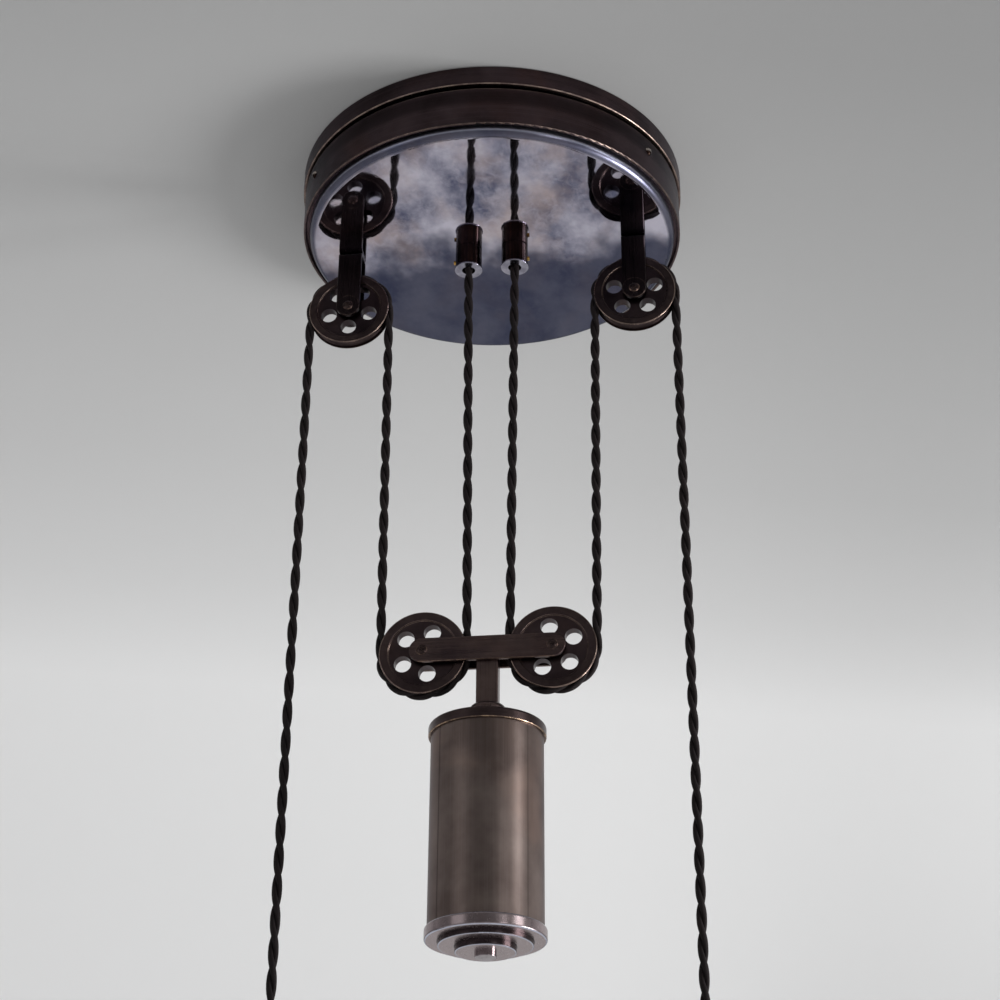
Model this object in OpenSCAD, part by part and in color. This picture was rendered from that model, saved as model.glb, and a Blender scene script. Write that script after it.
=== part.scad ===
// Rise and fall pendant: two lamps on flexes that run over ceiling pulleys and
// under a pair of moving pulleys on a shared counterweight.
// Origin at the middle of the ceiling plate's upper face, +Z up, viewer at -Y,
// X along the line of the pulleys. Millimetres.

/* [Ceiling plate] */
// How far the plate's skirt stands out past the can
plate_out = 1.5; // [0.5:0.5:3]
// Height of the plate's outer skirt
plate_h = 14; // [10:1:16]
// Thickness of the plate and its skirt
plate_t = 2.5; // [2:0.5:3]
// Distance between the two ceiling fixing holes
fixing_pitch = 150; // [120:1:160]
// Diameter of the ceiling fixing holes
fixing_hole_d = 5.5; // [4:0.5:7]
// Diameter of the supply cable's entry hole
entry_d = 20; // [16:1:24]

/* [Wiring] */
// Height of the terminal block
block_h = 15; // [12:1:18]
// Width of the terminal block
block_w = 20; // [18:1:26]
// Length of the terminal block past each flex
block_margin = 9; // [8:1:14]
// Diameter of a terminal's screw hole
terminal_d = 5; // [4:0.5:6]
// Distance of the earth post from the plate's middle
earth_off = 45; // [38:1:70]
// Diameter of the earth post
earth_d = 4; // [3:0.5:5]
// Length of the earth post
earth_len = 14; // [12:1:18]

/* [Canopy] */
// Outer diameter of the canopy can
can_d = 259; // [250:1:270]
// Height of the canopy can
can_h = 28; // [26:1:32]
// Thickness of the can's wall
can_wall = 1.9; // [1.5:0.1:2.2]
// Dark gap between the plate's skirt and the can
shadow_gap = 3; // [2:0.5:5]
// Sheet thickness of the polished disc, a shallow dish
disc_t = 2; // [1.5:0.5:3]
// How far the disc's face stands below the can's rim
disc_out = 5.4; // [4.4:0.2:6]
// How far the disc's edge reaches up into the can
disc_in = 3; // [2:0.5:5]
// Radius of the disc's rounded edge
disc_edge = 5; // [4:0.5:6]
// Gap round the edge of the disc
disc_gap = 2.2; // [1.5:0.1:3]
// Height of the side screws above the can's rim
side_screw_up = 18.5; // [16:0.5:20]
// Diameter of the side screws' heads
side_screw_d = 6; // [4:0.5:7]

/* [Cord grips] */
// Distance between the two cord grips
grip_pitch = 31.8; // [26:0.2:40]
// Diameter of a cord grip's body
grip_d = 18; // [16:0.5:20]
// Length of a cord grip below the disc
grip_len = 16.8; // [14:0.1:24]
// Diameter of the bright ring at its foot
grip_ring_d = 19; // [18:0.5:24]
// Thickness of that ring
grip_ring_t = 1.2; // [0.8:0.1:2]
// Bore that the flex passes through
grip_bore_d = 9; // [8:0.5:10]

/* [Flex] */
// Overall diameter of the twisted flex
flex_d = 6.2; // [5:0.1:6.5]
// Clearance between the flex and what it passes
flex_gap = 0.3; // [0.2:0.05:0.5]
// Height of each flex's lower end at rest, below the ceiling
flex_end = 582; // [575:1:640]

/* [Pulleys] */
// Flange diameter of all four pulleys
pulley_d = 55; // [52:0.5:60]
// Width over the flanges
pulley_w = 9; // [8.5:0.5:10]
// Radius of the flex's centre line on a pulley
wrap_r = 27.1; // [26:0.1:28]
// Width of the raised band round each face
band_w = 5.9; // [5.5:0.1:7]
// Depth of the web below that band
web_recess = 1.2; // [0.5:0.1:1.5]
// Number of lightening holes
hole_count = 5; // [3:1:6]
// Diameter of a lightening hole
hole_d = 10.8; // [8:0.2:11.5]
// Radius of the circle that the holes lie on
hole_circle_r = 14.4; // [13.8:0.2:15]
// Diameter of the hub
hub_d = 13; // [12:0.5:14]

/* [Axles] */
// Diameter of the axles
axle_d = 5; // [4:0.5:6]
// Outer diameter of the bronze bushes
bush_d = 8; // [7.5:0.5:9]
// Radial running clearance of a bush on its axle
run_gap = 0.05; // [0.02:0.01:0.08]
// Diameter of an axle's domed head
head_d = 7.2; // [6.5:0.1:9]
// Height of that head
head_h = 1.3; // [1:0.1:2.5]
// Width across the flats of the axle nuts
nut_af = 8; // [8:0.5:10]
// Thickness of the axle nuts
nut_t = 3.5; // [3:0.5:5]

/* [Straps] */
// Width of the straps and yoke bars
strap_w = 16; // [14:0.5:20]
// Thickness of the straps and yoke bars
strap_t = 2.5; // [2:0.5:4]
// Clear width between two straps or bars
strap_gap = 11; // [10.5:0.5:13]
// Distance between the two hangers
hanger_pitch = 194.8; // [186:0.2:210]
// Drop of the ceiling pulleys' axles below the disc
upper_drop = 44.4; // [42:0.2:56]
// Diameter of the hanger screws' domed heads
screw_head_d = 8.8; // [7.5:0.1:10]
// Height of those heads
screw_head_h = 2; // [1.5:0.1:3]
// Outer bend radius of the hangers
bend_r = 4; // [3:0.5:5]
// Broken edge of straps and bars
edge_break = 0.4; // [0.2:0.1:0.6]

/* [Yoke] */
// Distance between the yoke's two axles
yoke_pitch = 81; // [77:0.2:90]
// Drop of the yoke's axles below the disc at rest
yoke_drop = 304.1; // [280:0.1:330]
// Width of the stem
stem_w = 13.6; // [12:0.2:16]
// Length of the stem below the bars
stem_len = 28; // [18:0.5:34]
// Diameter of the collar at the stem's foot
collar_d = 23; // [21:0.5:26]
// Height of the collar
collar_h = 14.5; // [12:0.5:20]

/* [Counterweight] */
// Diameter of the counterweight's tube
weight_d = 68.5; // [64:0.5:80]
// Length of the tube between cap and base
weight_h = 118; // [100:0.5:140]
// Wall of the tube
weight_wall = 1.5; // [1.5:0.5:3]
// How far cap and base stand out past the tube
rim_out = 1.6; // [1:0.1:3]
// Thickness of the cap's edge
cap_t = 7; // [6:0.5:10]
// Thickness of the base's edge
base_t = 7.5; // [6.5:0.5:10]
// Depth that cap and base reach into the tube
spigot_h = 4; // [3:0.5:6]
// Diameter of the base's second step
step_d = 56; // [50:0.5:60]
// Diameter of the base's third step
boss_d = 36; // [30:0.5:40]
// Height of the second step
step_h = 2.8; // [2:0.1:4]
// Height of the third step
boss_h = 3.6; // [2:0.1:5]
// Diameter of the rod that ties the counterweight together
rod_d = 8; // [6:0.5:8]
// Diameter of the round nut below it
end_nut_d = 13; // [12:0.1:16]
// Height of that nut
end_nut_h = 3; // [2.5:0.5:6]

/* [Lampholders] */
// Diameter of a lampholder's body
holder_d = 41; // [40:0.5:44]
// Height of the lampholder's domed cap
holder_cap_h = 26; // [24:0.5:30]
// Height of its body
holder_body_h = 38; // [36:0.5:44]
// Radius of the lamp socket's wall
socket_r = 13.4; // [13.3:0.1:13.5]
// Depth of the lamp socket
socket_h = 21; // [20:0.5:23]
// Diameter of the shade ring
ring_d = 56; // [52:1:60]
// Height of the shade ring
ring_h = 9; // [7:0.5:12]
// Height of the shade ring's middle above the lampholder's rim
ring_up = 14; // [12:0.5:18]
// Radius of the cap's rounded shoulder
cap_shoulder = 10; // [7:0.5:10]

/* [Hidden] */
$fn = 96;
fine = 48;
eps = 0.01;

// canopy levels, downward from the ceiling
plate_d = can_d + 2 * plate_out;
can_top = -(plate_h + shadow_gap);
can_bottom = can_top - can_h;
face = can_bottom - disc_out;
sheet_top = face + disc_t;
disc_top = can_bottom + disc_in;
ledge_t = 1.5;
ledge_top = disc_top + ledge_t;
bridge_t = 3;
bridge_top = ledge_top + bridge_t;
bridge_w = 24;
can_inner_r = can_d / 2 - can_wall;
disc_r = can_inner_r - disc_gap;
collar_gap = 0.3;
spigot_r = can_inner_r - can_wall - collar_gap;
spigot_wall = 1.5;
spigot_bottom = bridge_top + 0.5;
side_screw_z = can_bottom + side_screw_up;
seat_gap = 0.1;
flange_t = 1.5;
bridge_half = spigot_r - spigot_wall - 1;

// flex route
flex_r = flex_d / 2;
yoke_x = yoke_pitch / 2;
inner_x = yoke_x - wrap_r;
middle_x = yoke_x + wrap_r;
upper_x = hanger_pitch / 2;
upper_in = upper_x - wrap_r;
outer_x = upper_x + wrap_r;
upper_z = face - upper_drop;
yoke_z = face - yoke_drop;
grip_x = grip_pitch / 2;
grip_foot = face - grip_len;
grip_tail_d = 12;
grip_nut_af = 17;
pad_r = grip_nut_af / 2;
grip_nut_t = 4;
grip_tail_top = bridge_top + grip_nut_t + 1;

// terminal block on the plate's underside
block_len = grip_pitch + 2 * block_margin;
block_bottom = -plate_t - block_h;
terminal_in = terminal_d;

// pulleys
pulley_r = pulley_d / 2;
groove_r = flex_r + flex_gap;
band_r = pulley_r - band_w;
web_t = pulley_w - 2 * web_recess;
hub_w = strap_gap - 0.6;
bush_r = bush_d / 2;
axle_r = axle_d / 2;
bush_bore_r = axle_r + run_gap;
strap_in = strap_gap / 2;
strap_out = strap_in + strap_t;

// yoke and counterweight levels
bar_bottom = yoke_z - strap_w / 2;
stem_foot = bar_bottom - stem_len;
cap_top = stem_foot - collar_h;
cap_bottom = cap_top - cap_t;
tube_bottom = cap_bottom - weight_h;
base_edge = tube_bottom - base_t;
step_bottom = base_edge - step_h;
boss_bottom = step_bottom - boss_h;
weight_r = weight_d / 2;
rim_r = weight_r + rim_out;
tube_inner_r = weight_r - weight_wall;
rod_top = stem_foot + rod_d;
rod_bottom = boss_bottom - end_nut_h + 1;

// lampholders
holder_top = -flex_end;
neck_r = 7.5;
neck_h = 9;
holder_r = holder_d / 2;
holder_wall = 1.5;
holder_joint = holder_top - holder_cap_h;
holder_bottom = holder_joint - holder_body_h;
insert_t = 12;
liner_wall = 0.8;
contact_r = 4;
contact_h = 3;
liner_top = holder_joint - insert_t;
liner_bottom = liner_top - socket_h;

// length that every cut passes through with room to spare
reach = 5 * strap_w;

// ---- shared shapes

// half section of a disc from radius r0 to r1 with rounded outer corners
module disc_section(r0, r1, z0, z1, top_r, low_r) {
    low = max(low_r, eps);
    top = max(top_r, eps);
    inner = r1 - max(low, top);
    translate([r0, z0]) square([inner - r0, z1 - z0]);
    translate([r0, z0 + low]) square([r1 - r0, z1 - z0 - low - top]);
    translate([r0, z0]) square([r1 - low - r0, low + eps]);
    translate([r0, z1 - top - eps]) square([r1 - top - r0, top + eps]);
    translate([r1 - low, z0 + low]) circle(r = low, $fn = fine);
    translate([r1 - top, z1 - top]) circle(r = top, $fn = fine);
}

// the same, turned about Z
module rounded_disc(r0, r1, z0, z1, top_r, low_r) {
    rotate_extrude() disc_section(r0, r1, z0, z1, top_r, low_r);
}

// ring between two radii
module ring(r0, r1, z0, z1) {
    translate([0, 0, z0]) difference() {
        cylinder(r = r1, h = z1 - z0);
        translate([0, 0, -1]) cylinder(r = r0, h = z1 - z0 + 2);
    }
}

// turns a shape about Z so that its axis points along Y, its top to the viewer
module along_y() {
    rotate([90, 0, 0]) children();
}

// plain bore along Y through everything at a point
module bore_y(x, z, r) {
    translate([x, reach / 2, z]) along_y() cylinder(r = r, h = reach, $fn = fine);
}

// hexagonal nut across flats af with a bore, standing on z = 0
module hex_nut(af, t, bore_r) {
    difference() {
        cylinder(r = af / sqrt(3), h = t, $fn = 6);
        translate([0, 0, -1]) cylinder(r = bore_r, h = t + 2, $fn = fine);
    }
}

// spherical cap of radius r and height h on z = 0
module dome(r, h) {
    ball = (r * r + h * h) / (2 * h);
    intersection() {
        translate([0, 0, h - ball]) sphere(r = ball, $fn = fine);
        cylinder(r = r, h = h + 1, $fn = fine);
    }
}

// rectangle w wide from 0 to t high with its corners broken
module chamfered_section(w, t) {
    c = edge_break;
    polygon([[-w / 2 + c, 0], [w / 2 - c, 0], [w / 2, c], [w / 2, t - c],
        [w / 2 - c, t], [-w / 2 + c, t], [-w / 2, t - c], [-w / 2, c]]);
}

// disc of radius r from 0 to t with its edges broken alike
module chamfered_disc(r, t) {
    c = edge_break;
    cylinder(r1 = r - c, r2 = r, h = c);
    translate([0, 0, c]) cylinder(r = r, h = t - 2 * c);
    translate([0, 0, t - c]) cylinder(r1 = r, r2 = r - c, h = c);
}

// ---- ceiling plate

module ceiling_plate() {
    r = plate_d / 2 - plate_t - seat_gap;
    color("#2b2220") translate([0, 0, -plate_t]) difference() {
        cylinder(r = r, h = plate_t);
        translate([0, 0, -1]) cylinder(r = entry_d / 2, h = plate_t + 2, $fn = fine);
        for (side = [-1, 1])
            translate([side * fixing_pitch / 2, 0, -1])
                cylinder(r = fixing_hole_d / 2, h = plate_t + 2, $fn = fine);
    }
}

// skirt that shows, with the inner collar that the can is screwed to
module plate_skirt() {
    color("#2b2220") difference() {
        union() {
            rounded_disc(plate_d / 2 - plate_t, plate_d / 2, -plate_h, 0, 0.8, 1);
            ring(spigot_r - spigot_wall, plate_d / 2 - plate_t + eps,
                -plate_t - flange_t, -plate_t);
            ring(spigot_r - spigot_wall, spigot_r, spigot_bottom, -plate_t);
        }
        for (a = side_screw_angles())
            rotate([0, 0, a]) translate([spigot_r - spigot_wall - 1, 0, side_screw_z])
                rotate([0, 90, 0]) cylinder(r = 1.5, h = spigot_wall + 2, $fn = fine);
    }
}

function side_screw_angles() = [-150, -30, 90];

// ---- canopy

module canopy_can() {
    color("#241d1b") difference() {
        union() {
            ring(can_inner_r, can_d / 2, can_bottom + 0.75, can_top);
            rotate_extrude() translate([can_d / 2 - can_wall / 2, can_bottom + 0.75])
                circle(r = can_wall / 2, $fn = fine);
            ring(spigot_r + collar_gap, can_inner_r + eps, can_top - can_wall, can_top);
            ring(spigot_r - 5, can_inner_r + eps, disc_top, ledge_top);
        }
        for (a = side_screw_angles())
            rotate([0, 0, a]) translate([can_inner_r - 1, 0, side_screw_z])
                rotate([0, 90, 0]) cylinder(r = 1.6, h = can_wall + 3, $fn = fine);
    }
}

// dish of even sheet with a rounded edge, its rim held under the can's ledge
module canopy_disc() {
    color("#5d6470") difference() {
        rotate_extrude() difference() {
            dish_section(disc_r, face, disc_edge);
            dish_section(disc_r - disc_t, sheet_top, disc_edge - disc_t);
            translate([0, disc_top]) square([can_d, 2 * disc_edge]);
        }
        for (side = [-1, 1]) {
            translate([side * grip_x, 0, face - 1])
                cylinder(r = grip_tail_d / 2 + run_gap, h = disc_t + 2, $fn = fine);
            translate([side * upper_x, 0, face - 1])
                cylinder(r = axle_r + run_gap, h = disc_t + 2, $fn = fine);
        }
    }
}

// half section of a dish's bulk from height low up past its rim, the lower corner rounded
module dish_section(r, low, edge) {
    top = disc_top + 1;
    translate([0, low]) square([r - edge, top - low]);
    translate([0, low + edge]) square([r, top - low - edge]);
    translate([r - edge, low + edge]) circle(r = edge, $fn = fine);
}

// stiff bar that lies on the can's ledge and carries grips and hangers
module canopy_bridge() {
    bore_h = bridge_top - sheet_top + 2;
    color("#8a8d90") difference() {
        union() {
            translate([-bridge_half, -bridge_w / 2, ledge_top])
                cube([2 * bridge_half, bridge_w, bridge_t]);
            for (x = [-upper_x, -grip_x, grip_x, upper_x])
                translate([x, 0, sheet_top])
                    cylinder(r = pad_r, h = ledge_top - sheet_top + eps);
        }
        for (side = [-1, 1]) {
            translate([side * grip_x, 0, sheet_top - 1])
                cylinder(r = grip_tail_d / 2 + run_gap, h = bore_h, $fn = fine);
            translate([side * upper_x, 0, sheet_top - 1])
                cylinder(r = axle_r + run_gap, h = bore_h, $fn = fine);
        }
    }
}

module canopy_side_screws() {
    reach = can_d / 2 - spigot_r + spigot_wall;
    color("#a06a45") for (a = side_screw_angles())
        rotate([0, 0, a]) translate([can_d / 2, 0, side_screw_z]) rotate([0, 90, 0]) {
            dome(side_screw_d / 2, 1.8);
            translate([0, 0, -reach]) cylinder(r = 1.45, h = reach + 0.2, $fn = fine);
        }
}

// ---- wiring

module terminal_block() {
    color("#e8e4da") difference() {
        translate([-block_len / 2, -block_w / 2, block_bottom])
            cube([block_len, block_w, block_h]);
        for (x = terminal_xs(), y = [-1, 1])
            translate([x, y * block_w * 0.3, block_bottom - 1])
                cylinder(r = terminal_d / 2, h = 4, $fn = fine);
    }
}

function terminal_xs() = [-block_len / 2 + terminal_in, 0, block_len / 2 - terminal_in];

module terminal_screws() {
    color("#b9974f") for (x = terminal_xs(), y = [-1, 1])
        translate([x, y * block_w * 0.3, block_bottom + 0.8])
            cylinder(r = terminal_d / 2 - 0.3, h = 2.2, $fn = fine);
}

module earth_post() {
    nut_h = 0.75 * earth_d;
    color("#b9974f") translate([0, -earth_off, -plate_t]) {
        translate([0, 0, -earth_len]) cylinder(r = earth_d / 2, h = earth_len, $fn = fine);
        for (drop = [nut_h, 0.6 * earth_len])
            translate([0, 0, -drop]) hex_nut(1.75 * earth_d, nut_h, earth_d / 2);
    }
}

// ---- cord grips

module cord_grip(side) {
    tail = grip_tail_top - face;
    color("#2a211f") translate([side * grip_x, 0, 0]) difference() {
        union() {
            rounded_disc(0, grip_d / 2, grip_foot + grip_ring_t, face, 0.8, 0);
            translate([0, 0, face]) cylinder(r = grip_tail_d / 2, h = tail, $fn = fine);
        }
        translate([0, 0, grip_foot - 1])
            cylinder(r = grip_bore_d / 2, h = grip_len + tail + 2, $fn = fine);
        if (side > 0)
            translate([0, 0, grip_foot + 7]) rotate([0, 90, 0])
                cylinder(r = 1.5, h = grip_d, $fn = fine);
        if (side < 0)
            translate([0, 0, grip_foot + 7]) rotate([0, -90, 0])
                cylinder(r = 1.5, h = grip_d, $fn = fine);
    }
}

module cord_grip_rings() {
    color("#c9ccd2") for (side = [-1, 1])
        translate([side * grip_x, 0, 0]) rotate_extrude() {
            translate([grip_bore_d / 2, grip_foot]) square([2.2, grip_ring_t]);
            disc_section(grip_bore_d / 2 + 2, grip_ring_d / 2, grip_foot,
                grip_foot + grip_ring_t, 0.3, 0.3);
        }
}

module cord_grip_nuts() {
    color("#8a8d90") for (side = [-1, 1])
        translate([side * grip_x, 0, bridge_top])
            hex_nut(grip_nut_af, grip_nut_t, grip_tail_d / 2);
}

// grub screws that pinch the flex, on the outer side of each grip
module cord_grip_screws() {
    start = flex_r + flex_gap;
    color("#c08a3e") for (side = [-1, 1])
        translate([side * grip_x, 0, grip_foot + 7]) rotate([0, side * 90, 0])
            translate([0, 0, start]) cylinder(r = 1.45, h = grip_d / 2 + 1.2 - start, $fn = fine);
}

// ---- hangers

// inverted U strap round a pulley, legs rounded about the axle
module hanger(side) {
    leg_top = face - upper_z;
    color("#2a2120") translate([side * upper_x, 0, 0]) difference() {
        intersection() {
            translate([-strap_w / 2, 0, upper_z]) rotate([90, 0, 90])
                linear_extrude(height = strap_w) difference() {
                    hanger_section(strap_out, leg_top, bend_r);
                    hanger_section(strap_in, leg_top - strap_t, bend_r - strap_t);
                }
            translate([0, strap_out, upper_z]) along_y() {
                chamfered_disc(strap_w / 2, 2 * strap_out);
                rotate([-90, 0, 0]) linear_extrude(height = leg_top)
                    rotate([180, 0, 0]) chamfered_section(strap_w, 2 * strap_out);
            }
        }
        bore_y(0, upper_z, axle_r + run_gap);
        translate([0, 0, face - strap_t - 1])
            cylinder(r = axle_r + run_gap, h = strap_t + 2, $fn = fine);
    }
}

// door shape of half width w and height h with rounded upper corners
module hanger_section(w, h, r) {
    foot = strap_w / 2 + 1;
    translate([-w, -foot]) square([2 * w, h + foot - r]);
    translate([-w + r, -foot]) square([2 * (w - r), h + foot]);
    for (s = [-1, 1]) translate([s * (w - r), h - r]) circle(r = r, $fn = fine);
}

module hanger_screws() {
    color("#6b6f74") for (side = [-1, 1])
        translate([side * upper_x, 0, face - strap_t]) {
            cylinder(r = axle_r, h = bridge_top - face + strap_t + 6, $fn = fine);
            rotate([180, 0, 0]) dome(screw_head_d / 2, screw_head_h);
        }
}

module hanger_nuts() {
    color("#8a8d90") for (side = [-1, 1])
        translate([side * upper_x, 0, bridge_top]) hex_nut(nut_af, nut_t, axle_r);
}

// ---- pulleys, shared by ceiling and yoke

// half section: grooved rim, recessed web and hub
module pulley_section() {
    difference() {
        union() {
            translate([band_r, -pulley_w / 2 + 1]) square([band_w, pulley_w - 2]);
            translate([band_r + 1, -pulley_w / 2]) square([band_w - 2, pulley_w]);
            for (y = [-1, 1]) {
                translate([pulley_r - 1, y * (pulley_w / 2 - 1)]) circle(r = 1, $fn = fine);
                translate([band_r + 1, y * (pulley_w / 2 - 1)]) circle(r = 1, $fn = fine);
            }
        }
        translate([wrap_r, 0]) circle(r = groove_r, $fn = fine);
    }
    slope = web_recess;
    polygon([[bush_r, -web_t / 2], [band_r - slope + 1, -web_t / 2],
        [band_r + 1, -pulley_w / 2], [band_r + 1, pulley_w / 2],
        [band_r - slope + 1, web_t / 2], [bush_r, web_t / 2]]);
    hub = hub_d / 2;
    polygon([[bush_r, -hub_w / 2], [hub - slope, -hub_w / 2], [hub, -web_t / 2],
        [hub, web_t / 2], [hub - slope, hub_w / 2], [bush_r, hub_w / 2]]);
}

// pulley on the Y axis, its first hole at angle turn
module pulley(turn) {
    along_y() difference() {
        rotate_extrude() pulley_section();
        for (i = [0 : hole_count - 1]) rotate([0, 0, turn + i * 360 / hole_count])
            translate([hole_circle_r, 0, -pulley_w])
                cylinder(r = hole_d / 2, h = 2 * pulley_w, $fn = fine);
    }
}

module bush() {
    along_y() ring(bush_bore_r, bush_r, -hub_w / 2, hub_w / 2);
}

// axle with a domed head at the viewer's side and a nut thread behind
module axle() {
    translate([0, strap_out + nut_t + 1, 0]) along_y()
        cylinder(r = axle_r, h = 2 * strap_out + nut_t + 1, $fn = fine);
    translate([0, -strap_out, 0]) along_y() dome(head_d / 2, head_h);
}

module axle_nut() {
    translate([0, strap_out + nut_t, 0]) along_y() hex_nut(nut_af, nut_t, axle_r);
}

module upper_pulley(side) {
    color("#3a2f2c") translate([side * upper_x, 0, upper_z]) pulley(side > 0 ? 18 : 54);
}

module lower_pulley(side) {
    color("#4a3d39") translate([side * yoke_x, 0, yoke_z]) pulley(side > 0 ? 27 : -78);
}

module upper_bush(side) {
    color("#a9743c") translate([side * upper_x, 0, upper_z]) bush();
}

module lower_bush(side) {
    color("#a9743c") translate([side * yoke_x, 0, yoke_z]) bush();
}

module upper_axles() {
    color("#6e5a50") for (side = [-1, 1]) translate([side * upper_x, 0, upper_z]) axle();
}

module upper_axle_nuts() {
    color("#6e5a50") for (side = [-1, 1]) translate([side * upper_x, 0, upper_z]) axle_nut();
}

module lower_axles() {
    color("#6e5a50") for (side = [-1, 1]) translate([side * yoke_x, 0, yoke_z]) axle();
}

module lower_axle_nuts() {
    color("#6e5a50") for (side = [-1, 1]) translate([side * yoke_x, 0, yoke_z]) axle_nut();
}

// ---- yoke

module yoke_bar(front) {
    y = front ? -strap_in : strap_out;
    color("#4b3e3a") translate([0, y, yoke_z]) difference() {
        along_y() {
            translate([-yoke_x, 0, 0]) rotate([90, 0, 90])
                linear_extrude(height = yoke_pitch) chamfered_section(strap_w, strap_t);
            for (side = [-1, 1])
                translate([side * yoke_x, 0, 0]) chamfered_disc(strap_w / 2, strap_t);
        }
        for (side = [-1, 1]) bore_y(side * yoke_x, 0, axle_r + run_gap);
    }
}

// flat stem brazed between the bars, with its turned collar
module yoke_stem() {
    shoulder = 4;
    color("#4b3e3a") difference() {
        union() {
            translate([0, 0, stem_foot]) linear_extrude(height = stem_len + strap_w - 1) {
                square([stem_w - 2, strap_gap], center = true);
                square([stem_w, strap_gap - 2], center = true);
                for (x = [-1, 1], y = [-1, 1])
                    translate([x * (stem_w / 2 - 1), y * (strap_gap / 2 - 1)])
                        circle(r = 1, $fn = 24);
            }
            rounded_disc(0, collar_d / 2, cap_top, stem_foot, shoulder, 0);
        }
        translate([0, 0, cap_top - 1])
            cylinder(r = rod_d / 2, h = rod_top - cap_top + 1, $fn = fine);
    }
}

// ---- counterweight

module counterweight_cap() {
    color("#5a4d48") difference() {
        union() {
            rounded_disc(0, rim_r, cap_bottom, cap_top, 1.8, 0.8);
            translate([0, 0, cap_bottom - spigot_h])
                cylinder(r = tube_inner_r - seat_gap, h = spigot_h + 1);
        }
        translate([0, 0, cap_bottom - spigot_h - 1])
            cylinder(r = rod_d / 2 + seat_gap, h = cap_t + spigot_h + 2, $fn = fine);
    }
}

module counterweight_tube() {
    color("#5c504b") ring(tube_inner_r, weight_r, tube_bottom, cap_bottom);
}

module counterweight_base() {
    color("#6f6260") difference() {
        union() {
            rounded_disc(0, rim_r, base_edge, tube_bottom, 1.5, 1.2);
            rounded_disc(0, step_d / 2, step_bottom, base_edge + eps, 0, 0.6);
            rounded_disc(0, boss_d / 2, boss_bottom, step_bottom + eps, 0, 0.6);
            translate([0, 0, tube_bottom - eps])
                cylinder(r = tube_inner_r - seat_gap, h = spigot_h + eps);
        }
        translate([0, 0, boss_bottom - 1])
            cylinder(r = rod_d / 2 + seat_gap, h = spigot_h + tube_bottom - boss_bottom + 2,
                $fn = fine);
    }
}

module ballast() {
    color("#3b3d40")
        ring(rod_d / 2 + seat_gap, tube_inner_r - 0.5, tube_bottom + spigot_h,
            cap_bottom - spigot_h);
}

module tie_rod() {
    color("#8a8d90") translate([0, 0, rod_bottom])
        cylinder(r = rod_d / 2, h = rod_top - rod_bottom, $fn = fine);
}

// flat round nut that closes the rod's lower end
module end_nut() {
    color("#7d706c") difference() {
        rounded_disc(0, end_nut_d / 2, boss_bottom - end_nut_h, boss_bottom, 0, 0.5);
        translate([0, 0, rod_bottom]) cylinder(r = rod_d / 2, h = end_nut_h, $fn = fine);
    }
}

// ---- flex

// straight stretch from x0 at height low to x1 at height high; where it leans,
// its square ends stop short so that neither corner reaches past those heights
module straight_flex(x0, low, x1, high) {
    lean = atan2(x1 - x0, high - low);
    short = flex_r * abs(sin(lean));
    color("#1d1614") translate([x0, 0, low]) rotate([0, lean, 0])
        translate([0, 0, short])
            cylinder(r = flex_r, h = (high - low) / cos(lean) - 2 * short, $fn = 24);
}

// from cord grip down to the moving pulley
module inner_flex(side) {
    straight_flex(side * inner_x, yoke_z, side * grip_x, grip_foot);
}

// from moving pulley up to ceiling pulley
module middle_flex(side) {
    straight_flex(side * middle_x, yoke_z, side * upper_in, upper_z);
}

// from ceiling pulley down to the lampholder
module outer_flex(side) {
    straight_flex(side * outer_x, holder_top, side * outer_x, upper_z);
}

// half turn over (up = 1) or under (up = -1) a pulley
module wrapped_flex(x, z, up) {
    color("#1d1614") translate([x, 0, z]) rotate([90, up > 0 ? 0 : 180, 0])
        rotate_extrude(angle = 180) translate([wrap_r, 0]) circle(r = flex_r, $fn = 24);
}

module flex_tails() {
    for (side = [-1, 1])
        straight_flex(side * grip_x, grip_foot, side * grip_x, block_bottom);
}

// ---- lampholders, each on the end of an outer flex

module holder_cap(side) {
    shoulder = cap_shoulder;
    bore = flex_r + flex_gap;
    wall_top = holder_joint + holder_cap_h - neck_h;
    color("#2a2120") translate([side * outer_x, 0, 0]) difference() {
        union() {
            rounded_disc(0, holder_r, holder_joint, wall_top, shoulder, 0);
            rounded_disc(0, neck_r, wall_top - eps, holder_top, 1.5, 0);
        }
        rounded_disc(0, holder_r - holder_wall, holder_joint - 1, wall_top - 3, shoulder - 1, 0);
        translate([0, 0, wall_top - 5]) cylinder(r = bore, h = neck_h + 3, $fn = fine);
    }
}

module holder_body(side) {
    color("#2a2120") translate([side * outer_x, 0, 0]) difference() {
        rounded_disc(0, holder_r, holder_bottom, holder_joint, 0, 1);
        translate([0, 0, holder_bottom - 1])
            cylinder(r = holder_r - holder_wall, h = holder_body_h + 2);
    }
}

// insert that the lamp socket's metal parts seat in
module holder_insert(side) {
    r = holder_r - holder_wall - seat_gap;
    color("#ece7dc") translate([side * outer_x, 0, 0]) {
        ring(0, r, liner_top + contact_h, holder_joint - 1);
        ring(contact_r + 2, r, liner_top, liner_top + contact_h + eps);
        ring(socket_r + liner_wall + seat_gap, r, liner_bottom, liner_top + eps);
    }
}

// threaded shell and centre contact
module holder_contacts(side) {
    color("#c9a25a") translate([side * outer_x, 0, 0]) {
        ring(socket_r, socket_r + liner_wall, liner_bottom, liner_top);
        translate([0, 0, liner_top + 0.5])
            cylinder(r = contact_r, h = contact_h - 0.5, $fn = fine);
    }
}

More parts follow.
